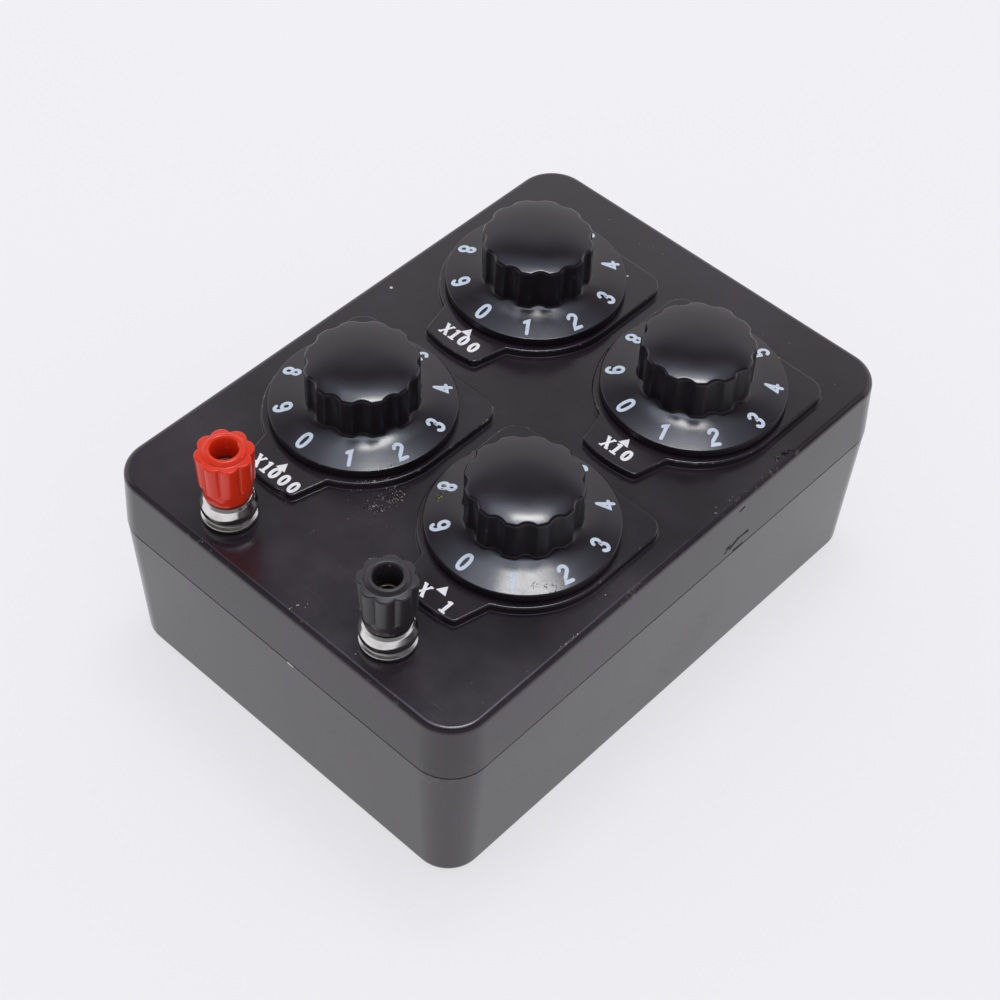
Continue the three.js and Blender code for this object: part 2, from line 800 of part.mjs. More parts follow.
/** The stud: socket at the top, cross hole for a bare wire, and a threaded tail. */
function studSolid() {
  const flangeLowEdge = collarHeight - collarSeatDepth + seatGap;
  const flangeTop = flangeLowEdge + studFlange;
  const profile = [
    [0, -studTailEnd],
    [studTailRadius, -studTailEnd],
    [studTailRadius, seatGap],
    [studRadius, seatGap],
    [studRadius, flangeLowEdge],
    [studFlangeRadius, flangeLowEdge],
    [studFlangeRadius, flangeTop],
    [studRadius, flangeTop],
    [studRadius, studTop],
    [socketRadius, studTop],
    [socketRadius, socketFloor],
    [0, socketFloor],
  ];
  const reach = studRadius + overrun;
  const hole = new THREE.CylinderGeometry(wireHoleRadius, wireHoleRadius, 2 * reach, smallSides);
  hole.rotateZ(Math.PI / 2);
  hole.translate(0, 0, flangeTop + wireHoleRise + wireHoleRadius);
  return turned(profile, spindleSides).subtract(solid(hole));
}

/** The screw-down cap: ribbed above, smooth at its foot, with a pocket for its insert. */
function capSolid(petalTurn) {
  const pocketTop = capLow + insertLength + seatGap + seatGap;
  const ribLow = capLow + capFoot;
  const ledge = capRadius - capEdge;
  const profile = [
    [insertOuter + seatGap, capLow],
    [capFootRadius, capLow],
    [capShoulderRadius, ribLow],
    [ledge, ribLow],
    [capRadius, capTop - capEdge],
    [ledge, capTop],
    [capLipRadius, capTop],
    [capLipRadius - capLipEdge, capTop + capLip],
    [capBore + capBoreEdge, capTop + capLip],
    [capBore, capTop + capLip - capBoreEdge],
    [capBore, pocketTop],
    [insertOuter + seatGap, pocketTop],
    [insertOuter + seatGap, capLow],
  ];
  const notches = [];
  for (let i = 0; i < petalCount; i += 1) {
    const angle = petalTurn + (i * 2 * Math.PI) / petalCount;
    const reach = capRadius + petalNotchRadius - petalNotchDepth;
    const x = reach * Math.cos(angle);
    const y = reach * Math.sin(angle);
    notches.push(rod(petalNotchRadius, ribLow - overrun, capTop + overrun, tinySides, x, y));
  }
  return turned(profile, postSides).subtract(joined(notches));
}

/** The threaded brass insert inside the cap. */
function insertSolid() {
  const low = capLow + seatGap;
  const profile = [
    [capBore, low],
    [insertOuter, low],
    [insertOuter, low + insertLength],
    [capBore, low + insertLength],
    [capBore, low],
  ];
  return turned(profile, spindleSides);
}

/** The hexagon nut under the cover. */
function nutSolid() {
  const cornerReach = nutHalfWidth / Math.cos(Math.PI / 6);
  const nut = rod(cornerReach, nutTop - nutThickness, nutTop, 6);
  const hole = rod(studTailRadius + seatGap, nutTop - nutThickness - overrun, nutTop + overrun, smallSides);
  return nut.subtract(hole);
}

/** The solder tag between the cover and the nut, its tail pointing to +Y. */
function tagSolid() {
  const neck = Math.asin(tagTailWidth / 2 / tagRadius);
  const up = Math.PI / 2;
  const shape = new THREE.Shape();
  shape.absarc(0, 0, tagRadius, up + neck, up - neck + 2 * Math.PI);
  shape.absarc(0, tagReach, tagTailWidth / 2, 0, Math.PI);
  shape.closePath();
  pierce(shape, 0, 0, holeFor(studTailRadius));
  pierce(shape, 0, tagReach, tagHoleRadius);
  return plate(shape, tagBottom, tagTop, wireArcSteps);
}

/** One binding post with everything that it holds above and below the cover. */
function bindingPost({ name, x, petalTurn, finish }) {
  const group = new THREE.Group();
  group.position.set(x, postY, coverFace);
  group.add(
    piece(`${name}_post_cap`, capSolid(petalTurn), finish),
    piece(`${name}_cap_insert`, insertSolid(), brass),
    piece(`${name}_post_stud`, studSolid(), nickel),
    piece(`${name}_post_collar`, collarSolid(), nickel),
    piece(`${name}_post_nut`, nutSolid(), brass),
    piece(`${name}_solder_tag`, tagSolid(), nickel),
  );
  return group;
}

// Wires

/** Where a wire meets a solder tag, a contact or a collector ring. */
function tagEnd({ x }) {
  return new THREE.Vector3(x, postY + tagReach, coverFace + tagBottom - seatGap);
}

function contactEnd({ x, y }) {
  const low = deckBottom - contactPinLength - seatGap;
  return new THREE.Vector3(x, y - contactCircle, coverFace + low);
}

function ringEnd({ x, y }) {
  const low = deckBottom - ringLegLength - seatGap;
  return new THREE.Vector3(x, y + ringLegPlace, coverFace + low);
}

/** A wire that leaves one end downwards, sags below the decks and comes up to the other. */
function wire(name, from, to, sidestep, finish) {
  const drop = new THREE.Vector3(0, 0, -wireDrop);
  const middle = from.clone().add(to).multiplyScalar(1 / 2);
  middle.x += sidestep;
  middle.z = Math.min(from.z, to.z) - wireSag;
  const points = [from, from.clone().add(drop), middle, to.clone().add(drop), to];
  return piece(name, tube(points, wireRadius, wireSteps), finish);
}

// Assembly

const dials = [
  { name: "x1000", x: -dialPitchX / 2, y: frontDialY, turn: 0 },
  { name: "x100", x: -dialPitchX / 2, y: frontDialY + dialPitchY, turn: 0 },
  { name: "x10", x: dialPitchX / 2, y: frontDialY + dialPitchY, turn: -positionStep / 2 },
  { name: "x1", x: dialPitchX / 2, y: frontDialY, turn: 0 },
];
const posts = [
  { name: "red", x: postShift - postPitch / 2, petalTurn: redPetalTurn, finish: redPlastic },
  { name: "black", x: postShift + postPitch / 2, petalTurn: blackPetalTurn, finish: blackPlastic },
];

const box = new THREE.Group();
box.add(topCover(), baseCase(), ...caseScrews());
for (const dial of dials) {
  box.add(decade(dial));
}
for (const post of posts) {
  box.add(bindingPost(post));
}
const [thousands, hundreds, tens, ones] = dials;
const [redPost, blackPost] = posts;
box.add(
  wire("wire_red_post", tagEnd(redPost), contactEnd(thousands), 0, redWire),
  wire("wire_x1000_x100", ringEnd(thousands), contactEnd(hundreds), 0, yellowWire),
  wire("wire_x100_x10", ringEnd(hundreds), contactEnd(tens), 0, yellowWire),
  wire("wire_x10_x1", ringEnd(tens), contactEnd(ones), linkSidestep, yellowWire),
  wire("wire_black_post", ringEnd(ones), tagEnd(blackPost), blackSidestep, blackWire),
);

export default box;
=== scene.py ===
"""The looks of a four-dial decade resistance box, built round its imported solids.

The moulded case, the dials, the binding posts and the printed numerals are made here as fine
meshes. The switches inside keep their solids and get their finishes. Sizes are in millimetres
and become metres where a mesh is made. Every angle is in degrees unless its name says radians.
"""

import json
import logging
import math
import random
from collections.abc import Callable, Iterable, Iterator, Sequence
from dataclasses import dataclass, field
from enum import Enum

import bmesh
import bpy
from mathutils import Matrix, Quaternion, Vector


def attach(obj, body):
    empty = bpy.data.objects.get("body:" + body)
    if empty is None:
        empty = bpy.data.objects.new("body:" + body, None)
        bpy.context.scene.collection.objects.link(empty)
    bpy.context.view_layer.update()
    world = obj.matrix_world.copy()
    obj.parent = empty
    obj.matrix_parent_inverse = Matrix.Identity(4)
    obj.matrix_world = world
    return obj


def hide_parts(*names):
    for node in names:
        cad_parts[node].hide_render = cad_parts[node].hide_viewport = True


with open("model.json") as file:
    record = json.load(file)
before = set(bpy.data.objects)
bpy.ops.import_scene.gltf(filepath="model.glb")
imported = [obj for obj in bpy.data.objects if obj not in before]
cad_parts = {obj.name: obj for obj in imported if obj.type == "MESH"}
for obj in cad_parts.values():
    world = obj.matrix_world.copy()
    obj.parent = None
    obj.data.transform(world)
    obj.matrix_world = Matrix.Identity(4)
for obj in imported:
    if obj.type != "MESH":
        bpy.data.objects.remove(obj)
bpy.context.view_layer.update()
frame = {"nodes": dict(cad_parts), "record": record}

MM = 0.001
LEAST_TURN = 0.01
LEAST_SUPPORT = 0.01
TANGENT_SHARE = 0.48
SUPPORT_SHARE = 0.4
MITRE_LIMIT = 0.3
WORN_BEND = 0.5
ON_AXIS = 0.000001
DUST_COLOUR = (0.55, 0.54, 0.5)

log = logging.getLogger("resistance_box")

Point2 = tuple[float, float]
Point3 = tuple[float, float, float]
Colour = tuple[float, float, float]
Corner = tuple[float, float, float]
Ring = list[bmesh.types.BMVert]
Placer = Callable[[float, float, float], Point3]


def turned(point: Point2, degrees: float) -> Point2:
    """Turns a point about the origin.

    Args:
        point: The point.
        degrees: How far it turns, anticlockwise.

    Returns:
        The turned point.
    """
    angle = math.radians(degrees)
    cos, sin = math.cos(angle), math.sin(angle)
    return (point[0] * cos - point[1] * sin, point[0] * sin + point[1] * cos)


def arc(centre: Point2, reach: Point2, start: float, end: float, steps: int) -> list[Point2]:
    """Points on an arc of an ellipse.

    Args:
        centre: The middle of the ellipse.
        reach: Its two half axes.
        start: The first angle.
        end: The last angle, below the first one for a clockwise arc.
        steps: The number of pieces that the arc is cut into.

    Returns:
        The points, both ends included.
    """
    points = []
    for step in range(steps + 1):
        angle = math.radians(start + (end - start) * step / steps)
        points.append((centre[0] + reach[0] * math.cos(angle), centre[1] + reach[1] * math.sin(angle)))
    return points


def eased(corners: Sequence[Corner], steps: int, closed: bool, support: float) -> list[Point2]:
    """Rounds the corners of a line.

    Args:
        corners: The corners as (across, up, radius); a radius of 0 keeps the corner.
        steps: The number of pieces of each rounding.
        closed: Whether the last corner is joined to the first.
        support: How far beyond a rounding an extra point keeps the flat beside it flat.

    Returns:
        The points of the eased line.
    """
    made: list[Point2] = []
    count = len(corners)
    for index, (across, up, radius) in enumerate(corners):
        here = Vector((across, up))
        inside = closed or 0 < index < count - 1
        if radius <= 0 or not inside:
            made.append((across, up))
            continue
        before = Vector(corners[index - 1][:2]) - here
        after = Vector(corners[(index + 1) % count][:2]) - here
        turn = math.pi - before.angle(after)
        if turn < LEAST_TURN:
            made.append((across, up))
            continue
        longest = TANGENT_SHARE * min(before.length, after.length)
        tangent = min(radius * math.tan(turn / 2), longest)
        round_radius = tangent / math.tan(turn / 2)
        to_before, to_after = before.normalized(), after.normalized()
        middle = here + (to_before + to_after).normalized() * (round_radius / math.cos(turn / 2))
        first = here + to_before * tangent
        side = to_before.cross(to_after)
        sweep = -turn if side > 0 else turn
        spare = min(before.length, after.length) - 2 * tangent
        reach = min(support, SUPPORT_SHARE * spare) if spare > 0 else 0
        if reach > LEAST_SUPPORT:
            made.append(tuple(first + to_before * reach))
        arm = first - middle
        for step in range(steps + 1):
            made.append(tuple(middle + Vector(turned(tuple(arm), math.degrees(sweep * step / steps)))))
        if reach > LEAST_SUPPORT:
            made.append(tuple(here + to_after * (tangent + reach)))
    return made


def inset(outline: Sequence[Point2], distance: float) -> list[Point2]:
    """Moves each point of a closed outline inwards.

    Args:
        outline: The points, anticlockwise.
        distance: How far the sides move.

    Returns:
        The moved points, one for each point given.
    """
    moved = []
    count = len(outline)
    for index, point in enumerate(outline):
        before = Vector(point) - Vector(outline[index - 1])
        after = Vector(outline[(index + 1) % count]) - Vector(point)
        first = Vector((-before.y, before.x)).normalized()
        second = Vector((-after.y, after.x)).normalized()
        middle = (first + second).normalized()
        moved.append(tuple(Vector(point) + middle * (distance / max(middle.dot(first), MITRE_LIMIT))))
    return moved


class MeshMaker:
    """Collects the rings and faces of one piece, in millimetres, and makes its object."""

    def __init__(self) -> None:
        """Starts an empty mesh."""
        self.mesh = bmesh.new()

    def ring(self, points: Iterable[Point3]) -> Ring:
        """Adds a row of points."""
        return [self.mesh.verts.new(Vector(point) * MM) for point in points]

    def level(self, points: Iterable[Point2], height: float) -> Ring:
        """Adds a row of points that all lie at one height."""
        return self.ring((x, y, height) for x, y in points)

    def bridge(self, first: Ring, second: Ring, closed: bool = True) -> None:
        """Joins two rows with faces; a row of one point makes a fan.

        Args:
            first: The one row.
            second: The other row.
            closed: Whether the rows are rings.
        """
        if len(first) == 1 or len(second) == 1:
            tip, row = (first[0], second) if len(first) == 1 else (second[0], first)
            if len(row) > 1:
                for index in range(len(row)):
                    self.mesh.faces.new((row[index - 1], row[index], tip))
            return
        count = len(first)
        for index in range(count if closed else count - 1):
            after = (index + 1) % count
            self.mesh.faces.new((first[index], first[after], second[after], second[index]))

    def loft(self, rings: Sequence[Ring], around: bool = False) -> None:
        """Joins each ring to the next.

        Args:
            rings: The rings in order.
            around: Whether the last is joined to the first as well.
        """
        for first, second in zip(rings, rings[1:]):
            self.bridge(first, second)
        if around:
            self.bridge(rings[-1], rings[0])

    def fill(self, loops: Sequence[Ring]) -> None:
        """Fills a flat face.

        Args:
            loops: Its outer loop and the loops of the holes in it.

        Raises:
            ValueError: If nothing was filled, because the loops cross.
        """
        edges = []
        for loop in loops:
            for index, vert in enumerate(loop):
                pair = (loop[index - 1], vert)
                edges.append(self.mesh.edges.get(pair) or self.mesh.edges.new(pair))
        filled = bmesh.ops.triangle_fill(self.mesh, use_beauty=True, use_dissolve=False, edges=edges)
        if not filled["geom"]:
            raise ValueError("a flat face has loops that cross")

    def circle(self, centre: Point2, radius: float, height: float, sides: int) -> Ring:
        """Adds a ring of points on a circle."""
        points = arc(centre, (radius, radius), 0, 360, sides)[:-1]
        return self.level(points, height)

    def hole(
        self, centre: Point2, radius: float, height: float, sides: int, margin: float = 0.3
    ) -> tuple[Ring, Ring]:
        """Adds a hole's edge with a narrow flat rim round it.

        Args:
            centre: The middle of the hole.
            radius: Its radius.
            height: The height of the face that it is in.
            sides: The number of its sides.
            margin: How wide the rim is.

        Returns:
            The outer loop of the rim, and the edge of the hole.
        """
        rim = self.circle(centre, radius + margin, height, sides)
        edge = self.circle(centre, radius, height, sides)
        self.bridge(rim, edge)
        return rim, edge

    def lathe(
        self, profile: Sequence[Point2], centre: Point2, sides: int, around: bool = False
    ) -> None:
        """Turns a profile about an upright axis.

        Args:
            profile: The points as (radius, height).
            centre: The place of the axis.
            sides: The number of faces round it.
            around: Whether the profile is a closed loop.
        """
        rings = []
        for radius, height in profile:
            if radius < ON_AXIS:
                rings.append(self.ring([(*centre, height)]))
            else:
                rings.append(self.circle(centre, radius, height, sides))
        self.loft(rings, around)

    def block(self, low: Point3, high: Point3) -> None:
        """Adds a closed block.

        Args:
            low: Its corner with the lowest values.
            high: Its corner with the highest values.
        """
        corners = [(low[0], low[1]), (high[0], low[1]), (high[0], high[1]), (low[0], high[1])]
        bottom, top = self.level(corners, low[2]), self.level(corners, high[2])
        self.bridge(bottom, top)
        self.fill([bottom])
        self.fill([top])

    def mark_edges(self) -> None:
        """Writes how far each point stands out on an edge, for the wear of the finishes."""
        layer = self.mesh.verts.layers.float.new("edge_wear")
        for vert in self.mesh.verts:
            bends = [edge.calc_face_angle(0) for edge in vert.link_edges if edge.is_convex]
            vert[layer] = min(max(bends, default=0) / WORN_BEND, 1)

    def build(self, name: str, finish: bpy.types.Material, sharp_from: float = 38) -> bpy.types.Object:
        """Makes the object.

        Args:
            name: The piece's name.
            finish: Its material.
            sharp_from: Edges that bend more than this stay sharp.

        Returns:
            The new object, linked to the scene.
        """
        bmesh.ops.recalc_face_normals(self.mesh, faces=self.mesh.faces)
        self.mark_edges()
        data = bpy.data.meshes.new(name)
        self.mesh.to_mesh(data)
        self.mesh.free()
        data.shade_smooth()
        data.set_sharp_from_angle(angle=math.radians(sharp_from))
        data.materials.append(finish)
        made = bpy.data.objects.new(name, data)
        bpy.context.scene.collection.objects.link(made)
        log.info("%s: %d faces", name, len(data.polygons))
        return made


class Nodes:
    """A short way to write a node tree."""

    def __init__(self, tree: bpy.types.NodeTree) -> None:
        """Takes the tree that the nodes go into."""
        self.tree = tree

    def add(
        self, kind: str, inputs: dict[str | int, object] | None = None, **settings: object
    ) -> bpy.types.Node:
        """Adds a node.

        Args:
            kind: The node's type, without the words that all types begin with.
            inputs: Values or sockets for its inputs, by name or number.
            settings: Values for its own settings.

        Returns:
            The new node.
        """
        node = self.tree.nodes.new("ShaderNode" + kind)
        for name, value in settings.items():
            setattr(node, name, value)
        for key, value in (inputs or {}).items():
            if isinstance(value, bpy.types.NodeSocket):
                self.tree.links.new(value, node.inputs[key])
            else:
                node.inputs[key].default_value = value
        return node

    def maths(self, operation: str, *values: object, clamp: bool = False) -> bpy.types.NodeSocket:
        """Adds a maths node and returns what it puts out."""
        inputs = dict(enumerate(values))
        return self.add("Math", inputs, operation=operation, use_clamp=clamp).outputs[0]

    def spread(
        self, value: object, low: float, high: float, to_low: float, to_high: float, soft: bool = False
    ) -> bpy.types.NodeSocket:
        """Stretches a range of values onto another and clamps it there.

        Args:
            value: The value or socket.
            low: Where the range begins.
            high: Where it ends.
            to_low: What its beginning becomes.
            to_high: What its end becomes.
            soft: Whether it starts and stops gently.

        Returns:
            The stretched value.
        """
        inputs = {"Value": value, "From Min": low, "From Max": high, "To Min": to_low, "To Max": to_high}
        kind = "SMOOTHSTEP" if soft else "LINEAR"
        return self.add("MapRange", inputs, clamp=True, interpolation_type=kind).outputs["Result"]

    def mixed(self, share: object, first: object, second: object) -> bpy.types.NodeSocket:
        """Mixes two colours by a share."""
        node = self.add("Mix", {0: share, 6: first, 7: second}, data_type="RGBA")
        return node.outputs[2]

    def noise(
        self, place: object, scale: float, detail: float = 3, rough: float = 0.55
    ) -> bpy.types.NodeSocket:
        """Adds a noise and returns its value."""
        inputs = {"Vector": place, "Scale": scale, "Detail": detail, "Roughness": rough}
        return self.add("TexNoise", inputs).outputs["Fac"]


class Effect(Enum):
    """The effects that several finishes share, by the name of their node group."""

    GRAIN = "moulded grain"
    WEAR = "edge wear"
    DUST = "dust specks"
    SCRATCHES = "hairline scratches"


def new_group(
    name: str, inputs: dict[str, float], outputs: Sequence[str]
) -> tuple[Nodes, dict[str, bpy.types.NodeSocket], bpy.types.Node]:
    """Starts a node group whose inputs and outputs are all plain values.

    Args:
        name: The group's name.
        inputs: The inputs with their first values.
        outputs: The names of the outputs.

    Returns:
        The nodes, the sockets of the inputs by name, and the output node.
    """
    tree = bpy.data.node_groups.new(name, "ShaderNodeTree")
    for title, value in inputs.items():
        socket = tree.interface.new_socket(name=title, in_out="INPUT", socket_type="NodeSocketFloat")
        socket.default_value = value
    for title in outputs:
        tree.interface.new_socket(name=title, in_out="OUTPUT", socket_type="NodeSocketFloat")
    given = tree.nodes.new("NodeGroupInput")
    result = tree.nodes.new("NodeGroupOutput")
    return Nodes(tree), {title: given.outputs[title] for title in inputs}, result


def make_grain() -> None:
    """A moulded surface: fine grain for the height and slow clouds for the tone."""
    nodes, given, result = new_group(
        Effect.GRAIN.value, {"Grain scale": 2500, "Cloud scale": 30}, ("Height", "Tone")
    )
    place = nodes.add("TexCoord").outputs["Object"]
    fine = nodes.noise(place, given["Grain scale"], 2, 0.5)
    wide = nodes.noise(place, given["Cloud scale"], 4, 0.6)
    nodes.tree.links.new(fine, result.inputs["Height"])
    nodes.tree.links.new(nodes.spread(wide, 0.3, 0.7, 0, 1), result.inputs["Tone"])


def make_wear() -> None:
    """Rubbed edges: where the mesh stands out, broken up by noise."""
    nodes, given, result = new_group(Effect.WEAR.value, {"Amount": 0.5, "Chip scale": 500}, ("Mask",))
    place = nodes.add("TexCoord").outputs["Object"]
    edge = nodes.add("Attribute", attribute_name="edge_wear").outputs["Fac"]
    chips = nodes.noise(place, given["Chip scale"], 5, 0.7)
    wide = nodes.noise(place, 60, 2)
    limit = nodes.maths("SUBTRACT", 0.95, nodes.maths("MULTIPLY", given["Amount"], wide))
    raised = nodes.maths("ADD", chips, nodes.maths("MULTIPLY", edge, 0.1))
    chipped = nodes.maths("GREATER_THAN", raised, limit)
    nodes.tree.links.new(nodes.maths("MULTIPLY", chipped, edge), result.inputs["Mask"])


def make_dust() -> None:
    """Small light specks that lie on what faces up."""
    nodes, given, result = new_group(
        Effect.DUST.value, {"Cell scale": 160, "Speck size": 0.06, "Share": 0.25}, ("Mask",)
    )
    place = nodes.add("TexCoord").outputs["Object"]
    cells = nodes.add("TexVoronoi", {"Vector": place, "Scale": given["Cell scale"]}, feature="F1")
    tone = nodes.add("SeparateColor", {"Color": cells.outputs["Color"]})
    size = nodes.maths("MULTIPLY", given["Speck size"], tone.outputs["Green"])
    near = nodes.maths("LESS_THAN", cells.outputs["Distance"], size)
    chosen = nodes.maths("LESS_THAN", tone.outputs["Red"], given["Share"])
    normal = nodes.add("SeparateXYZ", {"Vector": nodes.add("NewGeometry").outputs["Normal"]})
    lying = nodes.spread(normal.outputs["Z"], 0.5, 0.9, 0, 1)
    mask = nodes.maths("MULTIPLY", nodes.maths("MULTIPLY", near, chosen), lying)
    nodes.tree.links.new(mask, result.inputs["Mask"])


def make_scratches() -> None:
    """Thin straight scratches in three directions, gathered in patches."""
    nodes, given, result = new_group(
        Effect.SCRATCHES.value, {"Line scale": 40, "Share": 0.3}, ("Mask",)
    )
    place = nodes.add("TexCoord").outputs["Object"]
    masks = []
    for turn, stretch in ((25, (1, 22, 1)), (-50, (20, 1, 1)), (80, (1, 26, 1))):
        aimed = nodes.add(
            "Mapping", {"Vector": place, "Rotation": (0, 0, math.radians(turn)), "Scale": stretch}
        )
        lines = nodes.noise(aimed.outputs[0], given["Line scale"], 3, 0.6)
        gap = nodes.maths("ABSOLUTE", nodes.maths("SUBTRACT", lines, 0.5))
        masks.append(nodes.spread(gap, 0.0, 0.006, 1, 0))
    both = nodes.maths("MAXIMUM", nodes.maths("MAXIMUM", masks[0], masks[1]), masks[2])
    patches = nodes.spread(nodes.noise(place, 55, 3), 0.5, 0.62, 0, 1)
    mask = nodes.maths("MULTIPLY", nodes.maths("MULTIPLY", both, patches), given["Share"])
    nodes.tree.links.new(mask, result.inputs["Mask"])


class Finish:
    """A material with its shader and the shared effects placed in it."""

    def __init__(self, name: str) -> None:
        """Makes an empty material with a Principled shader.

        Args:
            name: The material's name.
        """
        self.material = bpy.data.materials.new(name)
        self.material.use_nodes = True
        self.nodes = Nodes(self.material.node_tree)
        self.shader = next(n for n in self.nodes.tree.nodes if n.type == "BSDF_PRINCIPLED")

    def set(self, **values: object) -> None:
        """Sets the shader's own sockets.

        Args:
            **values: Values or sockets by the name of the input; a low line stands for a space.
        """
        for key, value in values.items():
            socket = self.shader.inputs[key.replace("_", " ")]
            if isinstance(value, bpy.types.NodeSocket):
                self.nodes.tree.links.new(value, socket)
            else:
                socket.default_value = value

    def effect(self, effect: Effect, **values: float) -> bpy.types.Node:
        """Places a shared effect.

        Args:
            effect: Which effect.
            **values: This finish's own values for the group's inputs.

        Returns:
            The group's node.
        """
        group = self.nodes.add("Group", node_tree=bpy.data.node_groups[effect.value])
        for key, value in values.items():
            group.inputs[key.replace("_", " ")].default_value = value
        return group

    def bump(
        self, height: object, distance: float, strength: float = 1, under: object = None
    ) -> bpy.types.NodeSocket:
        """Adds a bump in metres and returns its normal.

        Args:
            height: What drives it, 0 to 1.
            distance: Its depth in metres.
            strength: How much of it shows.
            under: The normal of a bump below it, if there is one.

        Returns:
            The new normal.
        """
        inputs = {"Height": height, "Distance": distance, "Strength": strength}
        if under is not None:
            inputs["Normal"] = under
        return self.nodes.add("Bump", inputs).outputs["Normal"]


def rgba(colour: Colour) -> tuple[float, float, float, float]:
    """A colour with full cover."""
    return (*colour, 1.0)


@dataclass(frozen=True)
class MouldedPlastic:
    """Moulded plastic with grain, dust, scratches and rubbed edges."""

    name: str
    colour: Colour
    worn: Colour
    low_roughness: float
    high_roughness: float
    dust: float = 0.25
    dust_size: float = 0.06
    wear: float = 0.5
    scratches: float = 0.3
    ripple: float = 0.00002
    lift: float = 1.3
    ior: float = 1.5
    cloud: float = 45
    side_roughness: float = 0
    grain: float = 2600
    grain_depth: float = 0.000004
    chips: float = 700
    scratch_depth: float = 0.000006
    scratch_roughness: float = 0.25
    dust_roughness: float = 0.5

    def make(self) -> Finish:
        """Makes the material.

        Returns:
            The finish, ready to be put on a piece.
        """
        finish = Finish(self.name)
        nodes = finish.nodes
        grain = finish.effect(Effect.GRAIN, Grain_scale=self.grain, Cloud_scale=self.cloud)
        wear = finish.effect(Effect.WEAR, Amount=self.wear, Chip_scale=self.chips)
        dust = finish.effect(Effect.DUST, Share=self.dust, Speck_size=self.dust_size)
        lines = finish.effect(Effect.SCRATCHES, Share=self.scratches)
        light = tuple(min(part * self.lift, 1) for part in self.colour)
        clouded = nodes.mixed(grain.outputs["Tone"], rgba(self.colour), rgba(light))
        rubbed = nodes.mixed(wear.outputs["Mask"], clouded, rgba(self.worn))
        dusty = nodes.mixed(dust.outputs["Mask"], rubbed, rgba(DUST_COLOUR))
        rough = nodes.spread(grain.outputs["Tone"], 0, 1, self.low_roughness, self.high_roughness)
        scratched = nodes.maths("MULTIPLY", lines.outputs["Mask"], self.scratch_roughness)
        rough = nodes.maths("ADD", rough, scratched)
        if self.side_roughness:
            normal = nodes.add("SeparateXYZ", {"Vector": nodes.add("NewGeometry").outputs["Normal"]})
            upright = nodes.spread(normal.outputs["Z"], 0.2, 0.7, self.side_roughness, 0)
            rough = nodes.maths("ADD", rough, upright)
        matt = nodes.maths("MULTIPLY", dust.outputs["Mask"], self.dust_roughness)
        rough = nodes.maths("ADD", rough, matt, clamp=True)
        slow = finish.bump(grain.outputs["Tone"], self.ripple)
        fine = finish.bump(grain.outputs["Height"], self.grain_depth, 0.6, slow)
        cut = finish.bump(lines.outputs["Mask"], -self.scratch_depth, 0.5, fine)
        finish.set(Base_Color=dusty, Roughness=rough, Normal=cut, IOR=self.ior)
        return finish


@dataclass(frozen=True)
class PlatedMetal:
    """Turned or plated metal with turning marks and a tarnish that comes in clouds."""

    name: str
    colour: Colour
    tarnish: Colour
    low_roughness: float
    high_roughness: float
    grain: float = 1400
    cloud: float = 160
    wear: float = 0.35
    chips: float = 900
    flattened: Point3 = (0.04, 0.04, 1)
    turning_scale: float = 5400
    turning_depth: float = 0.000003
    turning_roughness: float = 0.06

    def make(self) -> Finish:
        """Makes the material.

        Returns:
            The finish, ready to be put on a piece.
        """
        finish = Finish(self.name)
        nodes = finish.nodes
        grain = finish.effect(Effect.GRAIN, Grain_scale=self.grain, Cloud_scale=self.cloud)
        wear = finish.effect(Effect.WEAR, Amount=self.wear, Chip_scale=self.chips)
        place = nodes.add("TexCoord").outputs["Object"]
        layers = nodes.add("Mapping", {"Vector": place, "Scale": self.flattened})
        turning = nodes.noise(layers.outputs[0], self.turning_scale, 2)
        clouded = nodes.mixed(grain.outputs["Tone"], rgba(self.colour), rgba(self.tarnish))
        worn = nodes.mixed(wear.outputs["Mask"], clouded, rgba(self.colour))
        rough = nodes.spread(grain.outputs["Tone"], 0, 1, self.low_roughness, self.high_roughness)
        rough = nodes.maths("ADD", rough, nodes.spread(turning, 0.4, 0.7, 0, self.turning_roughness))
        normal = finish.bump(turning, self.turning_depth, 0.5)
        finish.set(Base_Color=worn, Roughness=rough, Normal=normal, Metallic=1.0)
        return finish


@dataclass(frozen=True)
class Paint:
    """Printed paint with thin places and a slightly uneven face."""

    name: str
    colour: Colour
    thin: Colour
    low_roughness: float = 0.45
    high_roughness: float = 0.65
    grain: float = 3200
    cloud: float = 420
    uneven_depth: float = 0.00001

    def make(self) -> Finish:
        """Makes the material.

        Returns:
            The finish, ready to be put on a piece.
        """
        finish = Finish(self.name)
        nodes = finish.nodes
        grain = finish.effect(Effect.GRAIN, Grain_scale=self.grain, Cloud_scale=self.cloud)
        patchy = nodes.spread(grain.outputs["Tone"], 0.55, 1, 0, 0.5)
        colour = nodes.mixed(patchy, rgba(self.colour), rgba(self.thin))
        rough = nodes.spread(grain.outputs["Tone"], 0, 1, self.low_roughness, self.high_roughness)
        normal = finish.bump(grain.outputs["Height"], self.uneven_depth)
        finish.set(Base_Color=colour, Roughness=rough, Normal=normal)
        return finish


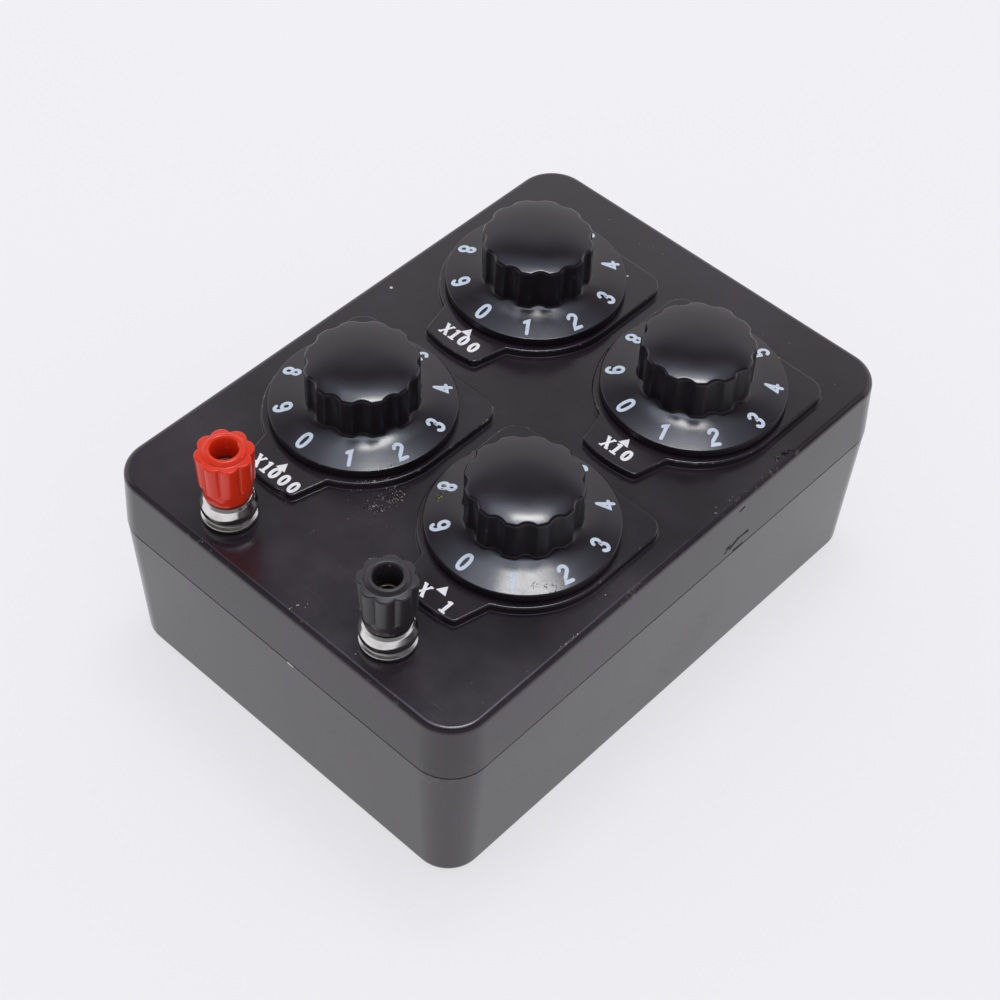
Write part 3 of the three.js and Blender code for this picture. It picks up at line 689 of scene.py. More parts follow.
@dataclass(frozen=True)
class Crumb:
    """Dry specks whose colour changes from crumb to crumb."""

    name: str
    pale: Colour
    dark: Colour
    low_roughness: float = 0.5
    high_roughness: float = 0.85
    crumb_scale: float = 1400
    depth: float = 0.00003

    def make(self) -> Finish:
        """Makes the material.

        Returns:
            The finish, ready to be put on a piece.
        """
        finish = Finish(self.name)
        nodes = finish.nodes
        place = nodes.add("TexCoord").outputs["Object"]
        tone = nodes.spread(nodes.noise(place, self.crumb_scale, 2), 0.35, 0.6, 0, 1)
        colour = nodes.mixed(tone, rgba(self.dark), rgba(self.pale))
        rough = nodes.spread(tone, 0, 1, self.low_roughness, self.high_roughness)
        finish.set(Base_Color=colour, Roughness=rough, Normal=finish.bump(tone, self.depth))
        return finish


@dataclass(frozen=True)
class Laminate:
    """Brown paper laminate: layered, with fibres and a resin gloss."""

    name: str = "paper laminate"
    dark: Colour = (0.1, 0.036, 0.011)
    light: Colour = (0.21, 0.088, 0.03)
    resin: Colour = (0.15, 0.06, 0.02)
    low_roughness: float = 0.35
    high_roughness: float = 0.55
    grain: float = 1800
    cloud: float = 90
    drawn_out: Point3 = (1, 14, 1)
    fibre_scale: float = 260
    fibre_depth: float = 0.00002

    def make(self) -> Finish:
        """Makes the material.

        Returns:
            The finish, ready to be put on a piece.
        """
        finish = Finish(self.name)
        nodes = finish.nodes
        place = nodes.add("TexCoord").outputs["Object"]
        stretched = nodes.add("Mapping", {"Vector": place, "Scale": self.drawn_out})
        fibres = nodes.noise(stretched.outputs[0], self.fibre_scale, 5, 0.65)
        grain = finish.effect(Effect.GRAIN, Grain_scale=self.grain, Cloud_scale=self.cloud)
        base = nodes.mixed(fibres, rgba(self.dark), rgba(self.light))
        cloudy = nodes.mixed(grain.outputs["Tone"], base, rgba(self.resin))
        rough = nodes.spread(fibres, 0.3, 0.7, self.low_roughness, self.high_roughness)
        normal = finish.bump(fibres, self.fibre_depth, 0.6)
        finish.set(Base_Color=cloudy, Roughness=rough, Normal=normal)
        return finish


@dataclass(frozen=True)
class Lacquer:
    """Lacquered resistors with bare tinned pins: the lacquer lies in a band of heights, in metres."""

    name: str = "resistor lacquer"
    band_low: float = 0.0369
    band_high: float = 0.0394
    blue: Colour = (0.13, 0.3, 0.42)
    pale_blue: Colour = (0.2, 0.42, 0.55)
    tin: Colour = (0.55, 0.55, 0.53)
    dull_tin: Colour = (0.42, 0.42, 0.4)
    low_roughness: float = 0.3
    high_roughness: float = 0.5
    grain: float = 900
    cloud: float = 300
    depth: float = 0.00002

    def make(self) -> Finish:
        """Makes the material.

        Returns:
            The finish, ready to be put on a piece.
        """
        finish = Finish(self.name)
        nodes = finish.nodes
        place = nodes.add("TexCoord").outputs["Object"]
        height = nodes.add("SeparateXYZ", {"Vector": place}).outputs["Z"]
        grain = finish.effect(Effect.GRAIN, Grain_scale=self.grain, Cloud_scale=self.cloud)
        above = nodes.maths("GREATER_THAN", height, self.band_low)
        in_band = nodes.maths("MULTIPLY", above, nodes.maths("LESS_THAN", height, self.band_high))
        blue = nodes.mixed(grain.outputs["Tone"], rgba(self.blue), rgba(self.pale_blue))
        tinned = nodes.mixed(grain.outputs["Tone"], rgba(self.tin), rgba(self.dull_tin))
        colour = nodes.mixed(in_band, tinned, blue)
        metal = nodes.maths("SUBTRACT", 1.0, in_band)
        rough = nodes.spread(grain.outputs["Tone"], 0, 1, self.low_roughness, self.high_roughness)
        normal = finish.bump(grain.outputs["Height"], self.depth)
        finish.set(Base_Color=colour, Roughness=rough, Metallic=metal, Normal=normal)
        return finish


SCUFF = (0.16, 0.15, 0.14)
SLEEVE = {"worn": SCUFF, "low_roughness": 0.35, "high_roughness": 0.5, "dust": 0, "wear": 0}


class Look(Enum):
    """The finishes of the box, each with how it is made."""

    CASE = MouldedPlastic(
        "case plastic", (0.0125, 0.0092, 0.0125), SCUFF, 0.12, 0.26, dust=0.34, dust_size=0.075, lift=2.1,
        ior=1.61, cloud=32,
    )
    KNOB = MouldedPlastic(
        "dial plastic", (0.0062, 0.004, 0.0072), SCUFF, 0.15, 0.2, dust=0.25, dust_size=0.05, wear=0.42,
        ior=1.58, cloud=90, ripple=0.00001, side_roughness=0.28,
    )
    RED = MouldedPlastic(
        "red plastic", (0.69, 0.032, 0.008), (0.9, 0.2, 0.13), 0.18, 0.27, dust=0.1, wear=0.4,
        scratches=0.1, lift=1.12, ior=1.42,
    )
    BLACK = MouldedPlastic("black cap plastic", (0.022, 0.0195, 0.0225), SCUFF, 0.3, 0.4, dust=0.1)
    NICKEL = PlatedMetal("nickel plate", (0.9, 0.89, 0.87), (0.62, 0.6, 0.57), 0.09, 0.2)
    # Socket finish: a brass colour, darkened further as painted shade for the stud's top, which sits deep in
    # the cap's bore.
    SOCKET = PlatedMetal("socket brass darkened for bore shade", (0.3, 0.25, 0.15), (0.16, 0.13, 0.08), 0.25, 0.4)
    BRASS = PlatedMetal("turned brass", (0.6, 0.4, 0.13), (0.42, 0.25, 0.07), 0.2, 0.34)
    STEEL = PlatedMetal("plain steel", (0.42, 0.42, 0.43), (0.26, 0.26, 0.27), 0.26, 0.4)
    BRONZE = PlatedMetal("spring bronze", (0.5, 0.24, 0.1), (0.3, 0.13, 0.05), 0.24, 0.38)
    NUMERALS = Paint("numeral paint", (0.6, 0.69, 0.8), (0.36, 0.42, 0.5))
    LABELS = Paint("label paint", (0.9, 0.9, 0.92), (0.55, 0.55, 0.56))
    RESIDUE = Crumb("glue residue", (0.5, 0.44, 0.35), (0.03, 0.02, 0.014))
    MOSS = Crumb("green speck", (0.5, 0.5, 0.12), (0.12, 0.13, 0.03))
    CHALK = Crumb("pale speck", (0.8, 0.79, 0.76), (0.45, 0.43, 0.4))
    NICK = Crumb("dark nick", (0.004, 0.004, 0.005), (0.012, 0.01, 0.011))
    LAMINATE = Laminate()
    RESISTORS = Lacquer()
    WIRE_RED = MouldedPlastic("red sleeve", (0.46, 0.018, 0.012), **SLEEVE)
    WIRE_BLACK = MouldedPlastic("black sleeve", (0.012, 0.012, 0.014), **SLEEVE)
    WIRE_YELLOW = MouldedPlastic("yellow sleeve", (0.66, 0.4, 0.02), **SLEEVE, lift=1.1)


@dataclass
class Finishes:
    """Every finish of the box, made once."""

    made: dict[Look, Finish] = field(default_factory=dict)

    def __post_init__(self) -> None:
        """Builds the shared effects and then the finishes."""
        make_grain()
        make_wear()
        make_dust()
        make_scratches()
        for look in Look:
            self.made[look] = look.value.make()

    def __getitem__(self, look: Look) -> bpy.types.Material:
        """The material of a finish."""
        return self.made[look].material


def replace_node(made: bpy.types.Object, node: str, body: str) -> None:
    """Lets a new piece ride on a body and stand for a solid of the same name."""
    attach(made, body)
    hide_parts(node)


@dataclass
class Dial:
    """Where a dial stands and how far it is turned."""

    name: str
    x: float
    y: float
    turn: float

    @property
    def body(self) -> str:
        """The name of the body that turns with it."""
        return "dial_" + self.name


DIALS = (
    Dial("x1000", -25, -21.9, 0),
    Dial("x100", -25, 36.5, 0),
    Dial("x10", 25, 36.5, -18),
    Dial("x1", 25, -21.9, 0),
)
COVER_FACE = 56.7


@dataclass
class DialPlate:
    """The raised plate with its tab under a dial."""

    radius: float = 23
    height: float = 1.9
    forward: float = 0.65
    corner: float = 5
    edge: float = 0.4
    tab_reach: float = 30.4
    root_half: float = 10.2
    end_half: float = 8
    end_corner: float = 1.3
    root_corner: float = 0.7
    foot_flange: float = 0.5
    foot_edge: float = 0.25
    top_margin: float = 1.4
    bush_hole: float = 4.8
    end_steps: int = 8

    def outline(self) -> list[Point2]:
        """Draws the plate's outline about the dial's centre.

        Returns:
            The points, anticlockwise.
        """
        root = math.degrees(math.acos(self.root_half / self.radius))
        end = math.degrees(math.acos(self.end_half / self.tab_reach))
        side = self.radius - self.corner
        round_part = (self.radius, self.radius)
        corner = (self.corner, self.corner)
        line = arc((0, 0), (self.tab_reach, self.tab_reach), -180 + end, -end, self.end_steps)
        line += arc((0, 0), round_part, -root, 0, 28)
        line += arc((side, side), corner, 0, 90, 10)
        line += arc((-side, side), corner, 90, 180, 10)
        line += arc((0, 0), round_part, 180, 180 + root, 28)
        ends = {0: self.end_corner, self.end_steps: self.end_corner}
        roots = {self.end_steps + 1: self.root_corner, len(line) - 1: self.root_corner}
        bends = ends | roots
        corners = [(x, y, bends.get(index, 0)) for index, (x, y) in enumerate(line)]
        return eased(corners, 5, closed=True, support=0)

    def add(self, maker: MeshMaker, dial: Dial, sides: int) -> tuple[Ring, Ring]:
        """Adds the plate to the cover.

        Args:
            maker: The cover's mesh.
            dial: The dial that it belongs to.
            sides: The number of faces round the bush's hole.

        Returns:
            The loop at the plate's foot, and the loop of the hole in its top.
        """
        line = [(x + dial.x, y + dial.y - self.forward) for x, y in self.outline()]
        top = COVER_FACE + self.height
        corners = [
            (-self.foot_flange, COVER_FACE, 0),
            (0, COVER_FACE, self.foot_edge),
            (0, top, self.edge),
            (self.top_margin, top, 0),
        ]
        profile = eased(corners, 4, closed=False, support=0.1)
        rings = [maker.level(inset(line, across), up) for across, up in profile]
        maker.loft(rings)
        rim, hole = maker.hole((dial.x, dial.y), self.bush_hole, top, sides)
        maker.fill([rings[-1], rim])
        return rings[0], hole


@dataclass
class Case:
    """The moulded case: top cover with its plates, and the deep base."""

    finishes: Finishes
    plate: DialPlate = field(default_factory=DialPlate)
    width: float = 110
    length: float = 150
    base_top: float = 40.2
    seam: float = 40.5
    seam_step: float = 0.1
    corner: float = 10.4
    least_corner: float = 0.4
    base_step: float = 0.3
    base_wall: float = 2.5
    base_floor: float = 2.8
    base_draft: float = 1.54
    base_fillet: float = 4.65
    base_edge: float = 0.28
    base_slope: float = 1.43
    floor_margin: float = 2.17
    foot_margin: float = 0.1
    cover_draft: float = 0.73
    cover_fillet: float = 1.56
    cover_edge: float = 0.22
    cover_margin: float = 3
    cover_thickness: float = 2.5
    ceiling_inset: float = 4
    ceiling_margin: float = 1
    lip_root: float = 3.53
    lip_inset: float = 3.1
    lip_thickness: float = 1.2
    lip_low: float = 38
    lip_high: float = 43.5
    post_hole: float = 2.3
    screw_inset: float = 9.9
    well_radius: float = 3.1
    screw_hole: float = 1.8
    well_depth: float = 26
    well_gap: float = 0.04
    well_rim: float = 0.05
    pillar_radius: float = 5
    pillar_foot: float = 1.4
    boss_radius: float = 4.5
    gap: float = 0.3
    deck_drop: float = 12
    deck_thickness: float = 1.6
    post_reach: float = 18
    post_angles: tuple[float, ...] = (30, 150, 270)
    post_radius: float = 2.2
    neck_radius: float = 1.3
    stake_radius: float = 2.3
    stake_height: float = 1.3
    spring_post_drop: float = 7.7
    spring_post_across: Corner = (10.2, 13.3, 14.5)
    spring_post_along: tuple[float, ...] = (9.4, 10.6, 11.7, 12.9)
    hole_sides: int = 48
    corner_steps: int = 14

    def outline(self, across: float) -> list[Point2]:
        """Draws the case's outline.

        Args:
            across: How far it is moved inwards.

        Returns:
            The points, anticlockwise.
        """
        x, y = self.width / 2 - self.corner, self.length / 2 - self.corner
        radius = max(self.corner - across, self.least_corner)
        shift = self.corner - across - radius
        x, y = x + shift, y + shift
        reach = (radius, radius)
        line = arc((x, -y), reach, -90, 0, self.corner_steps)
        line += arc((x, y), reach, 0, 90, self.corner_steps)
        line += arc((-x, y), reach, 90, 180, self.corner_steps)
        line += arc((-x, -y), reach, 180, 270, self.corner_steps)
        return line

    def screw_places(self) -> list[Point2]:
        """The places of the four case screws."""
        x, y = self.width / 2 - self.screw_inset, self.length / 2 - self.screw_inset
        return [(-x, -y), (x, -y), (x, y), (-x, y)]

    def shell(self, maker: MeshMaker, corners: Sequence[Corner], steps: int) -> list[Ring]:
        """Lofts the case's outline along a line.

        Args:
            maker: The mesh that gets it.
            corners: The line as (inset, height, radius).
            steps: The number of pieces of each rounding.

        Returns:
            The rings, in the line's order.
        """
        profile = eased(corners, steps, closed=False, support=0.2)
        rings = [maker.level(self.outline(across), up) for across, up in profile]
        maker.loft(rings)
        return rings

    def make_cover(self) -> bpy.types.Object:
        """Builds the top cover with its lip, plates and inner posts.

        Returns:
            The cover.
        """
        maker = MeshMaker()
        lip_inner = self.lip_inset + self.lip_thickness
        ceiling = COVER_FACE - self.cover_thickness
        corners = [
            (self.cover_draft + self.cover_margin, COVER_FACE, 0),
            (self.cover_draft, COVER_FACE, self.cover_fillet),
            (0, self.seam, self.cover_edge),
            (self.lip_inset, self.seam, 0),
            (self.lip_inset, self.lip_low, 0),
            (lip_inner, self.lip_low, 0),
            (lip_inner, self.lip_high, 0),
            (self.lip_root, self.lip_high, 0),
            (self.ceiling_inset, ceiling, 0),
            (self.ceiling_inset + self.ceiling_margin, ceiling, 0),
        ]
        rings = self.shell(maker, corners, 8)
        outer_loops, inner_loops = [rings[0]], [rings[-1]]
        for dial in DIALS:
            foot, hole = self.plate.add(maker, dial, self.hole_sides)
            rim, below = maker.hole((dial.x, dial.y), self.plate.bush_hole, ceiling, self.hole_sides)
            maker.bridge(hole, below)
            outer_loops.append(foot)
            inner_loops.append(rim)
        for x, y in POST_PLACES.values():
            top_rim, above = maker.hole((x, y), self.post_hole, COVER_FACE, self.hole_sides)
            low_rim, below = maker.hole((x, y), self.post_hole, ceiling, self.hole_sides)
            maker.bridge(above, below)
            outer_loops.append(top_rim)
            inner_loops.append(low_rim)
        maker.fill(outer_loops)
        maker.fill(inner_loops)
        self.add_inner_posts(maker, ceiling)
        return maker.build("top_cover_fine", self.finishes[Look.CASE])

    def add_inner_posts(self, maker: MeshMaker, ceiling: float) -> None:
        """Adds the screw bosses, the staked deck pillars and the spring posts.

        Args:
            maker: The cover's mesh.
            ceiling: The height of the cover's inner face.
        """
        root = ceiling + self.cover_thickness / 2
        boss_low = self.seam + self.gap
        boss = [(self.screw_hole, boss_low), (self.boss_radius, boss_low)]
        boss += [(self.boss_radius, root), (self.screw_hole, root)]
        for place in self.screw_places():
            maker.lathe(boss, place, sides=24, around=True)
        deck_top = ceiling - self.deck_drop
        deck_low = deck_top - self.deck_thickness
        pillar = [
            (0, deck_low - self.stake_height),
            (self.stake_radius, deck_low - self.stake_height),
            (self.stake_radius, deck_low - self.gap),
            (self.neck_radius, deck_low - self.gap),
            (self.neck_radius, deck_top + self.gap),
            (self.post_radius, deck_top + self.gap),
            (self.post_radius, root),
            (0, root),
        ]
        for dial in DIALS:
            for angle in self.post_angles:
                x, y = turned((self.post_reach, 0), angle)
                maker.lathe(pillar, (dial.x + x, dial.y + y), sides=20)
            self.add_spring_posts(maker, dial, root)

    def add_spring_posts(self, maker: MeshMaker, dial: Dial, root: float) -> None:
        """Adds the two slotted posts that hold a dial's index spring.

        Args:
            maker: The cover's mesh.
            dial: The dial whose spring they hold.
            root: The height at which they end inside the cover's wall.
        """
        low = COVER_FACE - self.spring_post_drop
        front, slot_front, slot_back, back = self.spring_post_along
        for side in (-1, 1):
            near, slot_end, far = (side * reach for reach in self.spring_post_across)
            for inner, y_low, y_high in (
                (near, front, slot_front),
                (near, slot_back, back),
                (slot_end, slot_front, slot_back),
            ):
                x_low, x_high = sorted((inner, far))
                low_corner = (dial.x + x_low, dial.y + y_low, low)
                maker.block(low_corner, (dial.x + x_high, dial.y + y_high, root))

    def make_base(self) -> bpy.types.Object:
        """Builds the deep base with its four bored pillars.

        Returns:
            The base.
        """
        maker = MeshMaker()
        wall = self.base_step + self.base_wall
        foot = self.base_step + self.base_draft
        floor_inset = wall + self.base_slope
        corners = [
            (foot + self.base_fillet - self.foot_margin, 0, 0),
            (foot, 0, self.base_fillet),
            (self.seam_step, self.base_top, self.base_edge),
            (wall, self.base_top, 0),
            (floor_inset, self.base_floor, self.base_fillet - self.base_wall),
            (floor_inset + self.floor_margin, self.base_floor, 0),
        ]
        rings = self.shell(maker, corners, 10)
        outer_loops, inner_loops = [rings[0]], [rings[-1]]
        well = self.well_radius + self.well_gap
        for place in self.screw_places():
            low_rim, below = maker.hole(place, well, 0, self.hole_sides, self.well_rim)
            top_rim, above = maker.hole(place, well, self.base_floor, self.hole_sides, self.well_rim)
            maker.bridge(below, above)
            outer_loops.append(low_rim)
            inner_loops.append(top_rim)
        maker.fill(outer_loops)
        maker.fill(inner_loops)
        pillar = [
            (self.well_radius, self.pillar_foot),
            (self.pillar_radius, self.pillar_foot),
            (self.pillar_radius, self.base_top),
            (self.screw_hole, self.base_top),
            (self.screw_hole, self.well_depth),
            (self.well_radius, self.well_depth),
        ]
        for place in self.screw_places():
            maker.lathe(pillar, place, self.hole_sides, around=True)
        return maker.build("base_case_fine", self.finishes[Look.CASE])

    def make(self) -> None:
        """Builds both halves and lets them stand for their solids."""
        replace_node(self.make_cover(), "top_cover", "case")
        replace_node(self.make_base(), "base_case", "case")


POST_PLACES = {"red": (-24.4, -63.7), "black": (25.2, -63.7)}


@dataclass
class Knob:
    """A dial's knob: fluted grip on a coned skirt."""

    finishes: Finishes
    skirt_radius: float = 21.93
    rim_low: float = 2.4
    rim_high: float = 4.3
    grip_foot: float = 6.05
    grip_radius: float = 13.35
    grip_top: float = 16.9
    grip_edge: float = 0.55
    bend_radius: float = 17.35
    bend_rise: float = 0.33
    belly: float = 0.16
    crown: float = 1.5
    crown_power: float = 2.8
    flutes: int = 12
    flute_radius: float = 2.9
    flute_centre: float = 15.4
    flute_blend: float = 0.5
    hub_radius: float = 7
    hub_low: float = 3.4
    recess_top: float = 4.35
    recess_edge: float = 2.85
    rim_inner: float = 20.23
    low_edge: float = 0.2
    high_edge: float = 0.3
    bore: float = 3.3
    bore_end: float = 13.3
    sides: int = 288
    face_radii: tuple[float, ...] = (20.9, 20.2, 19.5, 18.8, 18.1)
    bend_shares: tuple[float, ...] = (0.86, 0.72, 0.58, 0.44, 0.3, 0.18)
    foot_rows: tuple[Point2, ...] = ((-0.35, 0.02), (-0.2, 0.06), (-0.08, 0.16), (-0.02, 0.32), (0, 0.5))
    wall_margin: float = 0.15
    edge_steps: int = 6
    crown_shares: tuple[float, ...] = (0.985, 0.94, 0.86, 0.76, 0.64, 0.5, 0.36, 0.22, 0.1)
    round_share: float = 0.6

    def cone(self, radius: float) -> float:
        """Gives the height of the skirt's face, above the cover.

        Args:
            radius: How far from the axis.

        Returns:
            The height there.
        """
        share = (self.skirt_radius - radius) / (self.skirt_radius - self.grip_radius)
        bend = max(self.bend_radius - radius, 0) / (self.bend_radius - self.grip_radius)
        rise = (self.grip_foot - self.rim_high) * share + self.belly * share * (1 - share)
        return self.rim_high + rise + self.bend_rise * bend * bend

    def crown_height(self, radius: float) -> float:
        """The height of the grip's top at a radius."""
        share = min(radius / self.grip_radius, 1)
        return self.grip_top + self.crown * (1 - share**self.crown_power)

    def grip(self, degrees: float) -> float:
        """Gives the grip's radius, with the flutes cut in.

        Args:
            degrees: The angle about the axis.

        Returns:
            The radius there.
        """
        step = 360 / self.flutes
        off = math.radians(degrees % step - step / 2)
        across = self.flute_centre * math.sin(off)
        if abs(across) >= self.flute_radius:
            cut = self.grip_radius + 1
        else:
            cut = self.flute_centre * math.cos(off) - math.sqrt(self.flute_radius**2 - across**2)
        gap = max(self.flute_blend - abs(self.grip_radius - cut), 0) / self.flute_blend
        return min(self.grip_radius, cut) - gap * gap * self.flute_blend / 4

    def grip_ring(self, shrink: float) -> list[Point2]:
        """Draws the grip's fluted outline.

        Args:
            shrink: How far it is moved inwards.

        Returns:
            The points, anticlockwise.
        """
        points = []
        for index in range(self.sides):
            angle = 360 * index / self.sides
            radius = self.grip(angle)
            points.append(turned((radius, 0), angle))
        return inset(points, shrink) if shrink else points

    def skirt_line(self) -> list[Point2]:
        """Draws the line that is turned into the bore, the hub, the rim and the skirt's face.

        Returns:
            The points as (radius, height above the cover), from the end of the bore outwards.
        """
        rim_end, *face = self.face_radii
        corners = [
            (self.bore, self.bore_end, 0),
            (self.bore, self.hub_low, 0),
            (self.hub_radius, self.hub_low, self.low_edge),
            (self.hub_radius, self.recess_top, 0),
            (self.grip_radius, self.recess_top, 0),
            (self.rim_inner, self.recess_edge, 0),
            (self.rim_inner, self.rim_low, 0),
            (self.skirt_radius, self.rim_low, self.low_edge),
            (self.skirt_radius, self.rim_high, self.high_edge),
            (rim_end, self.cone(rim_end), 0),
        ]
        radii = [*face, self.bend_radius]
        for share in self.bend_shares:
            radii.append(self.grip_radius + (self.bend_radius - self.grip_radius) * share)
        line = eased(corners, 4, closed=False, support=0.1)
        return line + [(radius, self.cone(radius)) for radius in radii]

    def grip_rows(self) -> Iterator[tuple[list[Point2], list[float]]]:
        """Draws the rows of the grip, from its foot on the skirt to the middle of its crown.

        Returns:
            The points of each row, and the height of each point above the cover.
        """
        for shrink, rise in self.foot_rows:
            line = self.grip_ring(shrink)
            yield line, [self.cone(math.hypot(*point)) + rise for point in line]
        yield self.grip_ring(0), [self.grip_top - self.grip_edge - self.wall_margin] * self.sides
        for step in range(self.edge_steps + 1):
            angle = math.radians(90 * step / self.edge_steps)
            line = self.grip_ring(self.grip_edge * (1 - math.cos(angle)))
            drop = self.grip_edge * (1 - math.sin(angle))
            yield line, [self.crown_height(math.hypot(*point)) - drop for point in line]
        rim = self.grip_ring(self.grip_edge)
        flat = self.grip_radius - self.grip_edge
        for share in self.crown_shares:
            soften = max((share - self.round_share) / (1 - self.round_share), 0)
            line = []
            for point in rim:
                radius = math.hypot(*point)
                wanted = share * (radius * soften + flat * (1 - soften))
                line.append((point[0] * wanted / radius, point[1] * wanted / radius))
            yield line, [self.crown_height(math.hypot(*point)) for point in line]

    def make(self, dial: Dial) -> None:
        """Builds a dial's knob where it stands.

        Args:
            dial: The dial.
        """
        maker = MeshMaker()
        rings = []
        for radius, height in self.skirt_line():
            line = [turned((radius, 0), 360 * index / self.sides) for index in range(self.sides)]
            rings.append(self.shaped(maker, line, [height] * self.sides, dial))
        tip = maker.ring([(dial.x, dial.y, COVER_FACE + self.bore_end)])
        maker.loft([tip, *rings])
        last = rings[-1]
        for line, heights in self.grip_rows():
            after = self.shaped(maker, line, heights, dial)
            maker.bridge(last, after)
            last = after
        maker.bridge(last, maker.ring([(dial.x, dial.y, COVER_FACE + self.crown_height(0))]))
        made = maker.build("knob_" + dial.name + "_fine", self.finishes[Look.KNOB], sharp_from=50)
        replace_node(made, "knob_" + dial.name, dial.body)

    def shaped(
        self, maker: MeshMaker, line: Sequence[Point2], heights: Sequence[float], dial: Dial
    ) -> Ring:
        """Adds a ring with a height for each point, turned and moved with the dial.

        Args:
            maker: The knob's mesh.
            line: The points about the axis.
            heights: The height of each above the cover.
            dial: The dial that the knob belongs to.

        Returns:
            The new ring.
        """
        points = []
        for point, height in zip(line, heights):
            x, y = turned(point, dial.turn)
            points.append((dial.x + x, dial.y + y, COVER_FACE + height))
        return maker.ring(points)


@dataclass(frozen=True)
class Stroke:
    """One stroke of a printed sign: its middle line and its width along it."""

    line: tuple[Point2, ...]
    width: float
    closed: bool = False
    round_ends: bool = True
    side_width: float | None = None


def stroke(line: Sequence[Point2], width: float, **settings: object) -> Stroke:
    """A stroke along a line of points."""
    return Stroke(tuple(line), width, **settings)


class Lettering:
    """The shapes of the signs that are printed on the dials and their plates."""

    pen = 0.86
    thickness = 0.035
    step_up = 0.004
    widest_mitre = 1.5
    least_cos = 0.4
    numeral_step = 36
    nose_angles = (30, 60, 80)

    def numeral(self, digit: int) -> list[Stroke]:
        """Draws a narrow rounded numeral about its centre.

        Args:
            digit: The numeral, 0 to 9.

        Returns:
            Its strokes.
        """
        pen = self.pen
        x, y = 0.9, 1.92
        if digit == 0:
            line = []
            for step in range(40):
                angle = math.radians(9 * step)
                cos, sin = math.cos(angle), math.sin(angle)
                across, up = math.copysign(abs(cos) ** 0.8, cos), math.copysign(abs(sin) ** 0.86, sin)
                line.append((across * x, up * y))
            return [stroke(line, pen, closed=True)]
        if digit == 1:
            return [stroke([(-0.7, 1.1), (-0.25, 1.4), (0.15, y), (0.15, 0.8), (0.15, -y)], pen)]
        if digit == 2:
            line = arc((0, 1.05), (x, 0.87), 172, -30, 16) + [(0.45, 0.2), (-0.4, -0.9), (-x, -y), (x, -y)]
            return [stroke(line, pen)]
        if digit == 3:
            upper = arc((-0.05, 1.0), (0.82, 0.92), 160, -80, 16)
            return [stroke(upper + arc((-0.05, -0.93), (0.92, 0.99), 82, -160, 16), pen)]
        if digit == 4:
            return [
                stroke([(0.38, y), (-0.36, 0.42), (-1.02, -0.85), (0.2, -0.85), (1.1, -0.85)], pen),
                stroke([(0.38, y), (0.38, -0.6), (0.38, -y)], pen),
            ]
        if digit == 5:
            line = [(0.8, y), (-0.62, y), (-0.76, 0.25)] + arc((0, -0.7), (x, 1.22), 125, -155, 18)
            return [stroke(line, pen)]
        if digit == 6:
            tail = arc((0.05, 0.4), (0.94, 1.5), 42, 190, 16) + [(-x, -0.8)]
            return [stroke(arc((0, -0.86), (x, 1.06), 0, 345, 24), pen, closed=True), stroke(tail, pen)]
        if digit == 7:
            return [stroke([(-x, y), (0, y), (x, y), (0.35, 0.2), (-0.2, -y)], pen)]
        if digit == 8:
            upper = arc((0, 1.03), (0.74, 0.9), 0, 345, 24)
            lower = arc((0, -0.9), (x, 1.02), 0, 345, 24)
            return [stroke(upper, pen, closed=True), stroke(lower, pen, closed=True)]
        return [
            Stroke(tuple((-a, -b) for a, b in part.line), part.width, part.closed, part.round_ends)
            for part in self.numeral(6)
        ]

    def label_sign(self, sign: str) -> list[Stroke]:
        """Draws a bold sign with slab serifs, 3.6 high, about its centre.

        Args:
            sign: 0, 1 or x.

        Returns:
            Its strokes.
        """
        y = 1.8
        if sign == "0":
            line = arc((0, 0), (0.72, 1.48), 0, 345, 24)
            return [stroke(line, 0.6, closed=True, side_width=0.85)]
        if sign == "1":
            return [
                stroke([(0.05, y), (0.05, 0), (0.05, -y)], 0.82, round_ends=False),
                stroke([(-0.75, 1.2), (-0.3, 1.45), (0.1, 1.68)], 0.5, round_ends=False),
                stroke([(-0.8, -1.58), (0, -1.58), (0.9, -1.58)], 0.5, round_ends=False),
            ]
        return [
            stroke([(-0.85, 1.7), (0, 0), (0.85, -1.7)], 0.8, round_ends=False),
            stroke([(0.85, 1.7), (0, 0), (-0.85, -1.7)], 0.52, round_ends=False),
            stroke([(-1.3, 1.6), (-0.8, 1.6), (-0.3, 1.6)], 0.42, round_ends=False),
            stroke([(0.4, 1.6), (0.8, 1.6), (1.25, 1.6)], 0.42, round_ends=False),
            stroke([(-1.25, -1.6), (-0.8, -1.6), (-0.35, -1.6)], 0.42, round_ends=False),
            stroke([(0.35, -1.6), (0.8, -1.6), (1.3, -1.6)], 0.42, round_ends=False),
        ]

    def lay(self, maker: MeshMaker, strokes: Sequence[Stroke], place: Placer, depth: float = 0.12) -> None:
        """Lays strokes on a surface as thin closed bands.

        Args:
            maker: The mesh that gets them.
            strokes: The strokes of one sign.
            place: Gives the point for (across, up, height above the surface).
            depth: How far the bands reach into the surface.
        """
        for number, part in enumerate(strokes):
            lift = self.thickness + self.step_up * number
            left, right = self.sides_of(part)
            top_left = maker.ring(place(u, v, lift) for u, v in left)
            top_right = maker.ring(place(u, v, lift) for u, v in right)
            low_left = maker.ring(place(u, v, -depth) for u, v in left)
            low_right = maker.ring(place(u, v, -depth) for u, v in right)
            for first, second in (
                (top_left, top_right),
                (top_right, low_right),
                (low_right, low_left),
                (low_left, top_left),
            ):
                maker.bridge(first, second, closed=part.closed)
            if not part.closed:
                for end in (0, -1):
                    maker.mesh.faces.new((top_left[end], top_right[end], low_right[end], low_left[end]))

